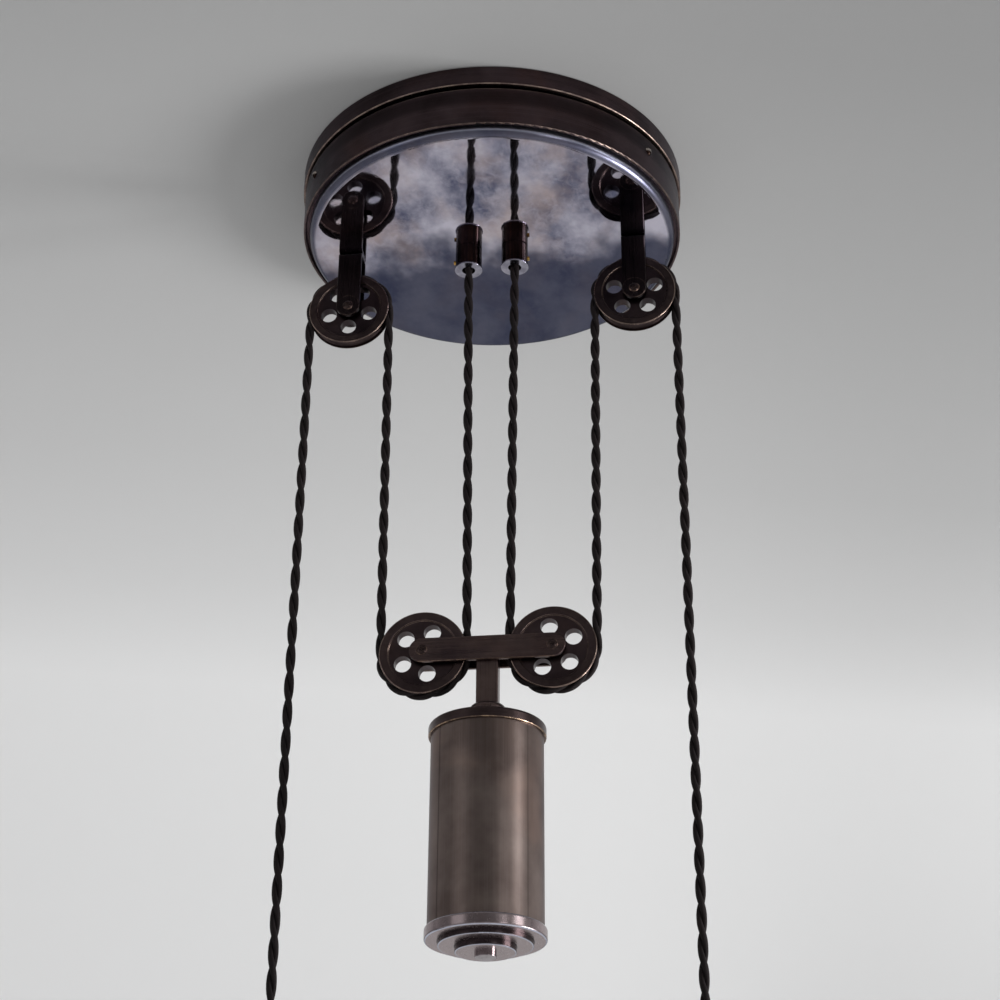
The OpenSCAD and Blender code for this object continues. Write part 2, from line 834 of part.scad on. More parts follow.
module shade_ring(side) {
    mid = holder_bottom + ring_up;
    color("#2a2120") translate([side * outer_x, 0, 0]) difference() {
        union() {
            rounded_disc(0, ring_d / 2, mid - 2, mid + 1, 1, 1);
            rounded_disc(0, holder_r + 3, mid - ring_h / 2, mid + ring_h / 2, 1, 1);
        }
        translate([0, 0, mid - ring_h]) cylinder(r = holder_r + 0.1, h = 2 * ring_h);
    }
}

// ---- assembly

ceiling_plate();
plate_skirt();
canopy_can();
canopy_disc();
canopy_bridge();
canopy_side_screws();
terminal_block();
terminal_screws();
earth_post();
cord_grip(-1);  // cord_grip_left
cord_grip(1);  // cord_grip_right
cord_grip_rings();
cord_grip_nuts();
cord_grip_screws();
hanger(-1);  // hanger_left
hanger(1);  // hanger_right
hanger_screws();
hanger_nuts();
upper_axles();
upper_axle_nuts();
upper_pulley(-1);  // upper_pulley_left
upper_pulley(1);  // upper_pulley_right
upper_bush(-1);  // upper_bush_left
upper_bush(1);  // upper_bush_right
yoke_bar(true);  // yoke_front_bar
yoke_bar(false);  // yoke_back_bar
yoke_stem();
lower_axles();
lower_axle_nuts();
lower_pulley(-1);  // lower_pulley_left
lower_pulley(1);  // lower_pulley_right
lower_bush(-1);  // lower_bush_left
lower_bush(1);  // lower_bush_right
counterweight_cap();
counterweight_tube();
counterweight_base();
ballast();
tie_rod();
end_nut();
flex_tails();
inner_flex(-1);  // flex_inner_left
inner_flex(1);  // flex_inner_right
wrapped_flex(-yoke_x, yoke_z, -1);  // flex_lower_wrap_left
wrapped_flex(yoke_x, yoke_z, -1);  // flex_lower_wrap_right
middle_flex(-1);  // flex_middle_left
middle_flex(1);  // flex_middle_right
wrapped_flex(-upper_x, upper_z, 1);  // flex_upper_wrap_left
wrapped_flex(upper_x, upper_z, 1);  // flex_upper_wrap_right
outer_flex(-1);  // flex_outer_left
outer_flex(1);  // flex_outer_right
holder_cap(-1);  // holder_cap_left
holder_cap(1);  // holder_cap_right
holder_body(-1);  // holder_body_left
holder_body(1);  // holder_body_right
holder_insert(-1);  // holder_insert_left
holder_insert(1);  // holder_insert_right
holder_contacts(-1);  // holder_contacts_left
holder_contacts(1);  // holder_contacts_right
shade_ring(-1);  // shade_ring_left
shade_ring(1);  // shade_ring_right
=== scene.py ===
import math

import bpy
import numpy as np
from mathutils import Matrix, Vector


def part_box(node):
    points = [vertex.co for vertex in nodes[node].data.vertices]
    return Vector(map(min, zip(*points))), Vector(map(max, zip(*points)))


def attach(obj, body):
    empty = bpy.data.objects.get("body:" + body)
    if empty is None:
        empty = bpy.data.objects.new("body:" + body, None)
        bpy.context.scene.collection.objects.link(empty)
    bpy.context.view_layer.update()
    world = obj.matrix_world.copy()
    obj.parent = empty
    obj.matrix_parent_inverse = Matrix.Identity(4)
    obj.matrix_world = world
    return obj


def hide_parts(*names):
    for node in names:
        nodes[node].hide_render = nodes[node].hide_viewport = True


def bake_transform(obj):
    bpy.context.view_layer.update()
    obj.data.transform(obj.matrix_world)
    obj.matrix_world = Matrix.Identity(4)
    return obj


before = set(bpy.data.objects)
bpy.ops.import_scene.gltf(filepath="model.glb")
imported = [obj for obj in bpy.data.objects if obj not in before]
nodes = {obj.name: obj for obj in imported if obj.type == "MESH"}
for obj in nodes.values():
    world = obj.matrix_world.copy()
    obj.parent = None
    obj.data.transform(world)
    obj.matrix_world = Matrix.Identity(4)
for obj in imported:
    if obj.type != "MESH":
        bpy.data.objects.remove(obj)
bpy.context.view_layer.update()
scene = bpy.context.scene
mm = 0.001
print("frame loaded:", len(nodes), "nodes")


# camera, from below and a little to the right, as the photograph was taken
cameraSet = {
    "place": (0.1478, -1.1570, -0.88375),
    "turn": 6.95,    # degrees to the left of +Y
    "pitch": 28.62,  # degrees upward
    "roll": 0.356,
    "lens": 74.36,   # on a 36 mm sensor
}


def makeCamera(s):
    # right = level and square to the look direction, up = right x forward, then both rolled
    turn, pitch, roll = (math.radians(s[key]) for key in ("turn", "pitch", "roll"))
    level = math.cos(pitch)
    ahead = Vector((-math.sin(turn) * level, math.cos(turn) * level, math.sin(pitch)))
    right = Vector((math.cos(turn), math.sin(turn), 0))
    up = right.cross(ahead)
    rolledRight = right * math.cos(roll) + up * math.sin(roll)
    rolledUp = up * math.cos(roll) - right * math.sin(roll)
    camera = bpy.data.objects.new("camera", bpy.data.cameras.new("camera"))
    scene.collection.objects.link(camera)
    facing = Matrix((rolledRight, rolledUp, -ahead)).transposed().to_4x4()
    camera.matrix_world = Matrix.Translation(s["place"]) @ facing
    camera.data.lens = s["lens"]
    camera.data.sensor_width = 36
    camera.data.clip_start, camera.data.clip_end = 0.01, 60
    scene.camera = camera


makeCamera(cameraSet)
print("camera set")


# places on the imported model, in millimetres
def middleOf(node):
    # the middle of the node's box, to a hundredth
    low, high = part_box(node)
    return tuple(round((a + b) / 2 / mm, 2) for a, b in zip(low, high))


def heightsOf(node):
    # its lowest and highest level
    return [round(corner.z / mm, 2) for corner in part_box(node)]


upperAxle = middleOf("upper_pulley_right")
lowerAxle = middleOf("lower_pulley_right")
canLow, canTop = heightsOf("canopy_can")
barLow, barTop = heightsOf("yoke_front_bar")
tubeTop = heightsOf("counterweight_tube")[1]
capTop = heightsOf("counterweight_cap")[1]
holderLow, holderJoint = heightsOf("holder_body_left")
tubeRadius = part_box("counterweight_tube")[1].x / mm
shadowGap = 3    # between the can and the ceiling plate's skirt


def onTube(degrees):
    # radius cos a, radius sin a, with the angle from +X, to a hundredth
    angle = math.radians(degrees)
    return round(tubeRadius * math.cos(angle), 2), round(tubeRadius * math.sin(angle), 2), 0


# node trees
inMillimetres = (1000, 1000, 1000)
asColour = {"data_type": "RGBA"}
softly = {"interpolation_type": "SMOOTHSTEP"}


def addNode(tree, kind, inputs=None, out=0, **settings):
    # settings go on the node; an input given an output socket is linked, any other gets the value
    node = tree.nodes.new("ShaderNode" + kind)
    for key, value in settings.items():
        setattr(node, key, value)
    for key, value in (inputs or {}).items():
        if isinstance(value, bpy.types.NodeSocket):
            tree.links.new(value, node.inputs[key])
        else:
            node.inputs[key].default_value = value
    return node.outputs[out] if node.outputs else None


def linear(hexColour):
    # sRGB hex to linear light: v / 12.92 below 0.04045, else ((v + 0.055) / 1.055) ^ 2.4
    parts = [int(hexColour[i:i + 2], 16) / 255 for i in (1, 3, 5)]
    light = [v / 12.92 if v <= 0.04045 else ((v + 0.055) / 1.055) ** 2.4 for v in parts]
    return (*light, 1.0)


def startMaterial(name):
    # an empty tree, and the point on the piece in millimetres
    material = bpy.data.materials.new(name)
    material.use_nodes = True
    tree = material.node_tree
    tree.nodes.clear()
    point = addNode(tree, "TexCoord", out="Object")
    return material, tree, addNode(tree, "Mapping", {0: point, "Scale": inMillimetres})


def clouded(tree, under, over, noise, span, share=1.0, **settings):
    # the colour under, going to a share of the other as the noise passes its span
    field = addNode(tree, "TexNoise", noise)
    field = addNode(tree, "MapRange", {0: field, 1: span[0], 2: span[1], 4: share}, **settings)
    return addNode(tree, "Mix", {0: field, 6: under, 7: linear(over)}, 2, **asColour)


# A line mask: its share where the height, or the distance from an axis, is the one given, and 0 from
# a width away on either side. It draws rubbed copper, painted highlights and painted shade bands alike.
def lineMask(tree, place, s):
    if "level" in s:
        distance, target = addNode(tree, "SeparateXYZ", {0: place}, out=2), s["level"]
    else:
        centre = [abs(v) for v in s["centre"]] if s.get("bothSides") else s["centre"]
        moved = addNode(tree, "VectorMath", {0: place, 1: centre}, operation="SUBTRACT")
        flat = addNode(tree, "VectorMath", {0: moved, 1: s["across"]}, operation="MULTIPLY")
        distance = addNode(tree, "VectorMath", {0: flat}, out="Value", operation="LENGTH")
        target = s["radius"]
    offset = addNode(tree, "Math", {0: distance, 1: target}, operation="SUBTRACT")
    away = addNode(tree, "Math", {0: offset}, operation="ABSOLUTE")
    full = 0.3 * s["width"]
    return addNode(tree, "MapRange", {0: away, 1: full, 2: s["width"], 3: s["share"], 4: 0.0}, **softly)


def lineMasks(tree, place, lines):
    # the greatest of the lines; one that is on both sides reads the point with its signs dropped
    folded = addNode(tree, "VectorMath", {0: place}, operation="ABSOLUTE")
    total = 0.0
    for line in lines:
        mask = lineMask(tree, folded if line.get("bothSides") else place, line)
        total = addNode(tree, "Math", {0: mask, 1: total}, operation="MAXIMUM")
    return total


turned = (0.004, 0.004, 1.6)    # tool marks run round the vertical axis, 0.6 mm apart in height
upright = (1.3, 1.3, 0.012)     # brushed up and down, 0.8 mm apart
alongX = (0.02, 1.2, 1.2)
anyWay = (0.35, 0.35, 0.35)     # tumbled: marks of 3 mm with no direction
frontFace = (1, 0, 1)           # keeps x and z: distance from an axis along Y
fromAbove = (1, 1, 0)
aboutMiddle = {"centre": (0, 0, 0), "across": fromAbove}
aboutUpperAxles = {"centre": upperAxle, "across": frontFace, "bothSides": True}
aboutLowerAxles = {"centre": lowerAxle, "across": frontFace, "bothSides": True}

patinaUsual = {
    "cloud": 22, "cloudSpan": (0.34, 0.68),
    "patch": 46, "patchSpan": (0.48, 0.72), "patchShare": 0.4,
    "elsewhere": (31, 7, 12),       # another part of the noise
    "brush": anyWay, "markSpan": (0.42, 0.78), "markShare": 0.3,
    "rough": (0.28, 0.42), "flatFrom": -0.75, "flatTo": -0.97, "flatShare": 0.8,
    "wornAndHighlight": "#7d6152", "broken": 0.1, "breakSize": 6, "wornAndHighlightRough": 0.22,
    "bump": 0.10, "bumpDepth": 0.2, "markHeight": 0.7, "grain": 0.9, "grainHeight": 0.35,
    "grazing": "#ffffff", "lacquer": 0.0,
}


# Patinated brass: chemically browned, then brushed or turned and waxed. The eye gets a dark satin metal
# with clouds of lighter brown, fine tool marks along one direction and thin broken lines along edges,
# copper where they rub and painted highlights where the edges catch light. Real tool marks are about
# 0.2 mm apart and the grain finer still, too fine to show, so they are drawn 0.6 to 0.9 mm wide.
# Colour = dark to light by clouds, to warm by larger patches, to mark by stretched noise, to flat where
# the surface looks straight down, to seam along the dark lines (on the canopy a painted shade band) and
# to wornAndHighlight along its lines. Roughness follows the marks.
# Height = markHeight x marks + grainHeight x grain.
def patinaMetal(name, given):
    s = {**patinaUsual, **given}
    material, tree, place = startMaterial(name)
    clouds = {"Vector": place, "Scale": 1 / s["cloud"], "Detail": 4, "Roughness": 0.6}
    colour = clouded(tree, linear(s["dark"]), s["light"], clouds, s["cloudSpan"])
    moved = addNode(tree, "Mapping", {0: place, "Location": s["elsewhere"]})
    patches = {"Vector": moved, "Scale": 1 / s["patch"], "Detail": 3, "Distortion": 0.5}
    warm = s.get("warm", s["light"])
    colour = clouded(tree, colour, warm, patches, s["patchSpan"], s["patchShare"], **softly)

    brushed = addNode(tree, "Mapping", {0: place, "Scale": s["brush"]})
    marks = addNode(tree, "TexNoise", {"Vector": brushed, "Scale": 1, "Detail": 3, "Roughness": 0.65})
    marked = {0: marks, 1: s["markSpan"][0], 2: s["markSpan"][1], 4: s["markShare"]}
    marked = addNode(tree, "MapRange", marked)
    mark = linear(s.get("mark", s["light"]))
    colour = addNode(tree, "Mix", {0: marked, 6: colour, 7: mark}, 2, **asColour)
    roughness = addNode(tree, "MapRange", {0: marks, 1: 0.3, 2: 0.75, 3: s["rough"][0], 4: s["rough"][1]})

    if "flat" in s:
        facing = addNode(tree, "SeparateXYZ", {0: addNode(tree, "NewGeometry", out="Normal")}, out=2)
        facing = addNode(tree, "MapRange", {0: facing, 1: s["flatFrom"], 2: s["flatTo"], 4: s["flatShare"]})
        colour = addNode(tree, "Mix", {0: facing, 6: colour, 7: linear(s["flat"])}, 2, **asColour)
    if "darkLinesAndShade" in s:
        darkLinesAndShade = lineMasks(tree, place, s["darkLinesAndShade"])
        colour = addNode(tree, "Mix", {0: darkLinesAndShade, 6: colour, 7: linear(s["seam"])}, 2, **asColour)
    if "wearAndHighlights" in s:
        # these lines are rubbed copper and painted edge highlights
        rubbed = lineMasks(tree, place, s["wearAndHighlights"])
        broken = {"Vector": place, "Scale": 1 / s["breakSize"], "Detail": 4, "Roughness": 0.7}
        broken = addNode(tree, "TexNoise", broken)
        broken = addNode(tree, "MapRange", {0: broken, 1: 0.42, 2: 0.62, 3: s["broken"], 4: 1.0})
        rubbed = addNode(tree, "Math", {0: rubbed, 1: broken}, operation="MULTIPLY")
        colour = addNode(tree, "Mix", {0: rubbed, 6: colour, 7: linear(s["wornAndHighlight"])}, 2, **asColour)
        roughness = addNode(tree, "MapRange", {0: rubbed, 3: roughness, 4: s["wornAndHighlightRough"]})

    grain = {"Vector": place, "Scale": 1 / s["grain"], "Detail": 3, "Roughness": 0.6}
    grain = addNode(tree, "TexNoise", grain)
    grain = addNode(tree, "Math", {0: grain, 1: s["grainHeight"]}, operation="MULTIPLY")
    height = addNode(tree, "Math", {0: marks, 1: s["markHeight"], 2: grain}, operation="MULTIPLY_ADD")
    depth = s["bumpDepth"] * mm
    normal = addNode(tree, "Bump", {"Height": height, "Strength": s["bump"], "Distance": depth})
    shader = addNode(tree, "BsdfPrincipled", {
        "Base Color": colour, "Roughness": roughness, "Normal": normal, "Metallic": 1.0,
        "Specular Tint": linear(s["grazing"]),      # patina dulls the glancing view
        "Coat Weight": s["lacquer"], "Coat Roughness": 0.3})
    addNode(tree, "OutputMaterial", {"Surface": shader})
    return material


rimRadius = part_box("counterweight_base")[1].x / mm
stepRadius, bossRadius = 28, 18
finishSet = {
    # plum-brown rings of tool marks, a painted shade band under the shadow gap, and cream lines at the
    # rims, partly rubbed brass and partly painted highlight
    "patinated brass, spun canopy": {
        "dark": "#322829", "light": "#4c3f42", "warm": "#573f3c", "mark": "#5f5155", "cloud": 34,
        "brush": turned, "rough": (0.26, 0.42), "wornAndHighlight": "#b7a293", "broken": 0.35, "grazing": "#e6e6ea",
        # painted shade: the dark band on the can under the skirt
        "seam": "#171112", "darkLinesAndShade": [{"level": canTop - 6.5, "width": 8, "share": 0.6}],
        # cream rim lines: partly rubbed brass, partly painted highlight
        "wearAndHighlights": [{"level": canTop + shadowGap + 0.3, "width": 0.5, "share": 0.6},
                 {"level": canLow + 0.5, "width": 0.6, "share": 0.35},
                 {"level": canTop - 0.2, "width": 0.4, "share": 0.2}]},
    # almost black and glossy, with upright copper-brown streaks that are painted reflections
    "patinated brass, turned grip": {
        "dark": "#141011", "light": "#2b2022", "mark": "#553a30", "markShare": 0.5, "cloud": 16,
        "brush": upright, "rough": (0.12, 0.24), "bump": 0.16},
    # dark strap with a faint line of copper round the axle's head
    "patinated brass strip, brushed": {
        "dark": "#171314", "light": "#292224", "warm": "#35292a", "mark": "#3c3232", "cloud": 30,
        "brush": (1.2, 1.2, 0.05), "rough": (0.24, 0.38), "wornAndHighlight": "#77655c",
        "wearAndHighlights": [{**aboutUpperAxles, "radius": 7.7, "width": 0.35, "share": 0.5}]},
    # lighter brown, scratched along its length, with lines along the lower and upper edges, partly rubbed
    # copper and partly painted highlight
    "patinated brass bar, brushed lengthways": {
        "dark": "#44383a", "light": "#62524f", "warm": "#6e5750", "mark": "#7c6a65", "cloud": 26,
        "brush": alongX, "rough": (0.24, 0.38), "wornAndHighlight": "#b0947f",
        "wearAndHighlights": [{"level": barLow + 0.3, "width": 0.4, "share": 0.6},
                 {"level": barTop - 0.3, "width": 0.35, "share": 0.3}]},
    # the bars' brown with fine upright lines
    "patinated brass stem, drawn and turned": {
        "dark": "#483c3c", "light": "#685854", "mark": "#7f6e69", "cloud": 24, "brush": upright,
        "rough": (0.26, 0.38)},
    # small dark domes with a copper ring where they rub
    "patinated steel axle, rubbed bright": {
        "dark": "#2a2223", "light": "#4b3e3b", "cloud": 3, "rough": (0.22, 0.36), "wornAndHighlight": "#a08474",
        "wearAndHighlights": [{**about, "radius": 3.3, "width": 0.3, "share": 0.7}
                 for about in (aboutUpperAxles, aboutLowerAxles)]},
    # grey-brown satin under lacquer, with soft smears and two upright dark lines
    "patinated brass tube, brushed and lacquered": {
        "dark": "#62544f", "light": "#877973", "warm": "#8f796f", "mark": "#978986", "cloud": 44,
        "patch": 48, "patchShare": 0.6, "markShare": 0.22, "brush": upright, "rough": (0.32, 0.42),
        "bump": 0.03, "grazing": "#a2a1a5", "lacquer": 0.35, "seam": "#3a3130",
        "darkLinesAndShade": [{"centre": onTube(221.7), "across": fromAbove, "radius": 0, "width": 0.8, "share": 0.7},
                  {"centre": onTube(321.7), "across": fromAbove, "radius": 0, "width": 0.7, "share": 0.5}]},
    # darker than the tube, with a brassy line at its lower rim, partly rubbed brass and partly painted
    # highlight
    "patinated brass cap, turned": {
        "dark": "#392f30", "light": "#4f4241", "mark": "#60524f", "cloud": 24, "brush": turned,
        "rough": (0.26, 0.38), "wornAndHighlight": "#c6a98c", "broken": 0.2,
        "wearAndHighlights": [{"level": tubeTop + 0.3, "width": 0.4, "share": 0.8},
                 {"level": capTop - 0.5, "width": 0.4, "share": 0.35}]},
    # paler, with dark step walls and painted blue-white highlights along the steps' edges
    "patinated brass base, polished steps": {
        "dark": "#7f7274", "light": "#9a8d8f", "warm": "#9c8883", "flat": "#b3a4a4", "mark": "#a39798",
        "markShare": 0.2, "cloud": 20, "rough": (0.2, 0.3), "wornAndHighlight": "#ced3e4", "bump": 0.05,
        "broken": 0.9, "seam": "#2e2629",
        "darkLinesAndShade": [{**aboutMiddle, "radius": radius + 0.1, "width": 0.5, "share": 0.85}
                  for radius in (stepRadius, bossRadius)],
        # the blue-white lines are painted highlights on the edges
        "wearAndHighlights": [{**aboutMiddle, "radius": radius, "width": width, "share": 0.9} for radius, width in
                 ((rimRadius - 0.65, 0.6), (stepRadius - 0.5, 0.5), (bossRadius - 0.5, 0.5))]},
    # bright, slightly warm mirror
    "nickelled brass nut, polished": {
        "dark": "#8c8284", "light": "#b0a7aa", "cloud": 9, "brush": turned, "rough": (0.06, 0.12)},
    # dark brown rings, copper at the rim and at the joint of cap and body
    "patinated brass, spun lampholder": {
        "dark": "#2a2122", "light": "#423533", "warm": "#4c3a34", "mark": "#5a4a46", "cloud": 20,
        "brush": turned, "rough": (0.24, 0.38), "wornAndHighlight": "#8f6f5c",
        "wearAndHighlights": [{"level": holderLow + 0.4, "width": 0.5, "share": 0.6},
                 {"level": holderJoint, "width": 0.4, "share": 0.4}]},
    # near-black heads with a painted pale glint across
    "bronzed brass screw, painted glint": {
        "dark": "#0b0707", "light": "#2c1f1a", "cloud": 1.4, "rough": (0.1, 0.2), "bump": 0.25,
        "wornAndHighlight": "#e0d4cb", "broken": 0.6,
        "wearAndHighlights": [{"level": middleOf("canopy_side_screws")[2] + 0.2, "width": 1.3, "share": 0.9}]},
    # matt golden brown, open-grained
    "sintered bronze bush": {
        "dark": "#5c432a", "light": "#86683c", "cloud": 2, "rough": (0.34, 0.5), "bump": 0.3},
    # yellow metal with bright turning rings
    "bare turned brass": {
        "dark": "#b98c48", "light": "#d8b56c", "cloud": 5, "brush": turned, "rough": (0.18, 0.3)},
    # even pale grey
    "zinc plated steel": {
        "dark": "#9a9c9e", "light": "#c2c5c8", "cloud": 12, "rough": (0.28, 0.42)},
    # bluish silver, fine rings
    "nickel plated brass ring, turned": {
        "dark": "#83818e", "light": "#a9a7b2", "cloud": 6, "brush": turned, "rough": (0.14, 0.24),
        "bump": 0.05},
    # dull grey with a sandy surface
    "cast iron ballast, as cast": {
        "dark": "#3c3e41", "light": "#5a5c5e", "cloud": 6, "rough": (0.5, 0.7), "bump": 0.6},
}
metals = {name: patinaMetal(name, s) for name, s in finishSet.items()}

# the upper pair's tones are darker copies of the lower pair's: painted shade on the same casting
pulleyTones = {"upper_pulley_": ("#241d20", "#3c3234"), "lower_pulley_": ("#362c2e", "#504344")}
# radius, width and share of the lines, rubbed copper and painted highlight: groove's lip, band, band's
# inner edge, hub
pulleyWearAndHighlights = ((27.1, 0.5, 0.85), (24.5, 3.2, 0.08), (21.7, 0.45, 0.85), (6.2, 0.35, 0.5))


# browned brass casting: smooth and dark, with faint copper arcs at its edges, partly rubbed through and
# partly painted highlight
def pulleyMetal(node, dark, light):
    about = {"centre": middleOf(node), "across": frontFace}
    return patinaMetal("patinated brass casting, " + node.replace("_", " "), {
        "dark": dark, "light": light, "warm": "#54423f", "mark": "#5d4c49", "markShare": 0.05,
        "cloud": 30, "patch": 24, "patchShare": 0.3, "brush": (0.5, 0.5, 0.5), "rough": (0.28, 0.34),
        "bump": 0.015, "wornAndHighlight": "#a08b80", "broken": 0.4,
        "wearAndHighlights": [{**about, "radius": radius, "width": width, "share": share}
                 for radius, width, share in pulleyWearAndHighlights]})


pulleyMetals = {pair + side: pulleyMetal(pair + side, *tones)
                for pair, tones in pulleyTones.items() for side in ("left", "right")}

discSet = {
    "drawn": (1.15, 0.8, 1),    # the clouds' shape
    "start": (12, 30, 0), "elsewhere": (80, 11, 3),     # parts of the noise
    "dark": "#5a5d75", "pale": "#ccc8d6", "cloud": 44, "cloudSpan": (0.37, 0.66),
    "warm": "#c2ada6", "patch": 34, "patchSpan": (0.44, 0.70), "patchShare": 0.6,
    "streak": 9, "streakSpan": (0.46, 0.72), "streakShare": 0.4,
    "edge": "#454759", "edgeFrom": 120.6, "edgeTo": 122.4, "edgeShare": 0.85, "edgeRough": 0.32,
    # far: a painted dark reflection over the far half, with a ragged edge
    "far": "#31364e", "farStart": -8, "farEnd": 24, "farRagged": 120, "ragged": 64, "farShare": 0.88,
    # line: a painted highlight along the very edge
    "line": "#b4b8ca", "lineFrom": 124.9, "lineTo": 125.2, "lineShare": 0.8,
    "wave": 34, "waveHeight": 2.0, "bump": 0.1, "bumpDepth": 0.2,
    "crinkle": 3.6, "squeeze": (1, 1.3, 1), "crinkleSpan": (0.46, 0.62), "crinkleShares": (0.05, 0.9),
    "crinkleFar": 0.1,
    "haze": 24, "rough": (0.02, 0.07),
}


# Polished patinated brass: a clouded mirror. The eye gets smoky lavender and warm clouds over a clear,
# slightly uneven reflection, a painted dark reflection past the middle, small crinkles in the nearer half
# and a duller rounded edge with a thin painted highlight line.
# Colour = dark to pale by clouds, to warm by patches, to pale by streaks, to edge where the radius passes
# edgeFrom..edgeTo, to far (a painted reflection) where y + ragged noise passes farStart..farEnd, to line
# (a painted highlight) at the very edge.
# Height = waveHeight x a slow wave + crinkles, which fade out in patches and in the far part.
def mirrorDisc(s):
    material, tree, place = startMaterial("patinated brass disc, mirror polished")
    drawn = addNode(tree, "Mapping", {0: place, "Scale": s["drawn"], "Location": s["start"]})
    clouds = {"Vector": drawn, "Scale": 1 / s["cloud"], "Detail": 5, "Roughness": 0.55}
    colour = clouded(tree, linear(s["dark"]), s["pale"], clouds, s["cloudSpan"])
    moved = addNode(tree, "Mapping", {0: drawn, "Location": s["elsewhere"]})
    patches = {"Vector": moved, "Scale": 1 / s["patch"], "Detail": 4}
    colour = clouded(tree, colour, s["warm"], patches, s["patchSpan"], s["patchShare"])
    streaks = {"Vector": drawn, "Scale": 1 / s["streak"], "Detail": 5, "Roughness": 0.65, "Distortion": 0.5}
    colour = clouded(tree, colour, s["pale"], streaks, s["streakSpan"], s["streakShare"])

    flat = addNode(tree, "VectorMath", {0: place, 1: fromAbove}, operation="MULTIPLY")
    radius = addNode(tree, "VectorMath", {0: flat}, out="Value", operation="LENGTH")
    edge = addNode(tree, "MapRange", {0: radius, 1: s["edgeFrom"], 2: s["edgeTo"], 4: s["edgeShare"]})
    colour = addNode(tree, "Mix", {0: edge, 6: colour, 7: linear(s["edge"])}, 2, **asColour)

    # painted reflection: the far half darkens towards the far colour
    ragged = {"Vector": drawn, "Scale": 1 / s["ragged"], "Detail": 4, "Roughness": 0.55}
    ragged = addNode(tree, "TexNoise", ragged)
    depth = addNode(tree, "SeparateXYZ", {0: place}, out=1)
    depth = addNode(tree, "Math", {0: ragged, 1: s["farRagged"], 2: depth}, operation="MULTIPLY_ADD")
    mean = s["farRagged"] / 2       # what the noise adds on average
    far = {0: depth, 1: s["farStart"] + mean, 2: s["farEnd"] + mean, 4: s["farShare"]}
    far = addNode(tree, "MapRange", far, **softly)
    colour = addNode(tree, "Mix", {0: far, 6: colour, 7: linear(s["far"])}, 2, **asColour)
    # painted highlight: a thin pale line at the very edge
    rim = addNode(tree, "MapRange", {0: radius, 1: s["lineFrom"], 2: s["lineTo"], 4: s["lineShare"]})
    colour = addNode(tree, "Mix", {0: rim, 6: colour, 7: linear(s["line"])}, 2, **asColour)

    wave = addNode(tree, "TexNoise", {"Vector": place, "Scale": 1 / s["wave"], "Detail": 1})
    squeezed = addNode(tree, "Mapping", {0: place, "Scale": s["squeeze"]})
    crinkle = {"Vector": squeezed, "Scale": 1 / s["crinkle"], "Detail": 3, "Distortion": 0.6}
    crinkle = addNode(tree, "TexNoise", crinkle)
    where = addNode(tree, "TexNoise", {"Vector": moved, "Scale": 1 / s["patch"], "Detail": 2})
    span, shares = s["crinkleSpan"], s["crinkleShares"]
    where = {0: where, 1: span[0], 2: span[1], 3: shares[0], 4: shares[1]}
    where = addNode(tree, "MapRange", where, **softly)
    near = addNode(tree, "MapRange", {0: far, 1: 0.0, 2: 0.85, 3: 1.0, 4: s["crinkleFar"]})
    where = addNode(tree, "Math", {0: where, 1: near}, operation="MULTIPLY")
    crinkle = addNode(tree, "Math", {0: crinkle, 1: where}, operation="MULTIPLY")
    height = addNode(tree, "Math", {0: wave, 1: s["waveHeight"], 2: crinkle}, operation="MULTIPLY_ADD")
    dent = s["bumpDepth"] * mm
    normal = addNode(tree, "Bump", {"Height": height, "Strength": s["bump"], "Distance": dent})

    hazy = addNode(tree, "TexNoise", {"Vector": place, "Scale": 1 / s["haze"], "Detail": 3})
    roughness = addNode(tree, "MapRange", {0: hazy, 1: 0.35, 2: 0.7, 3: s["rough"][0], 4: s["rough"][1]})
    roughness = addNode(tree, "MapRange", {0: edge, 3: roughness, 4: s["edgeRough"]})
    shader = addNode(tree, "BsdfPrincipled", {"Base Color": colour, "Roughness": roughness,
                                              "Normal": normal, "Metallic": 1.0})
    addNode(tree, "OutputMaterial", {"Surface": shader})
    return material


discMaterial = mirrorDisc(discSet)

mouldedUsual = {
    "mottle": 8, "mottleSpan": (0.35, 0.68), "uneven": 3, "skin": 1.2, "bump": 0.15, "bumpDepth": 0.1,
    "speck": 0.7, "speckColour": "#b9b1a0", "speckSpan": (0.66, 0.8), "speckShare": 0.35,
}
mouldedSet = {
    "polyamide terminal block, moulded": {
        "first": "#e9e6dc", "second": "#dedacd", "rough": (0.42, 0.58), "coat": 0.0},
    "steatite insert, glazed": {
        "first": "#efebe2", "second": "#e4dfd2", "rough": (0.18, 0.32), "coat": 0.6},
}


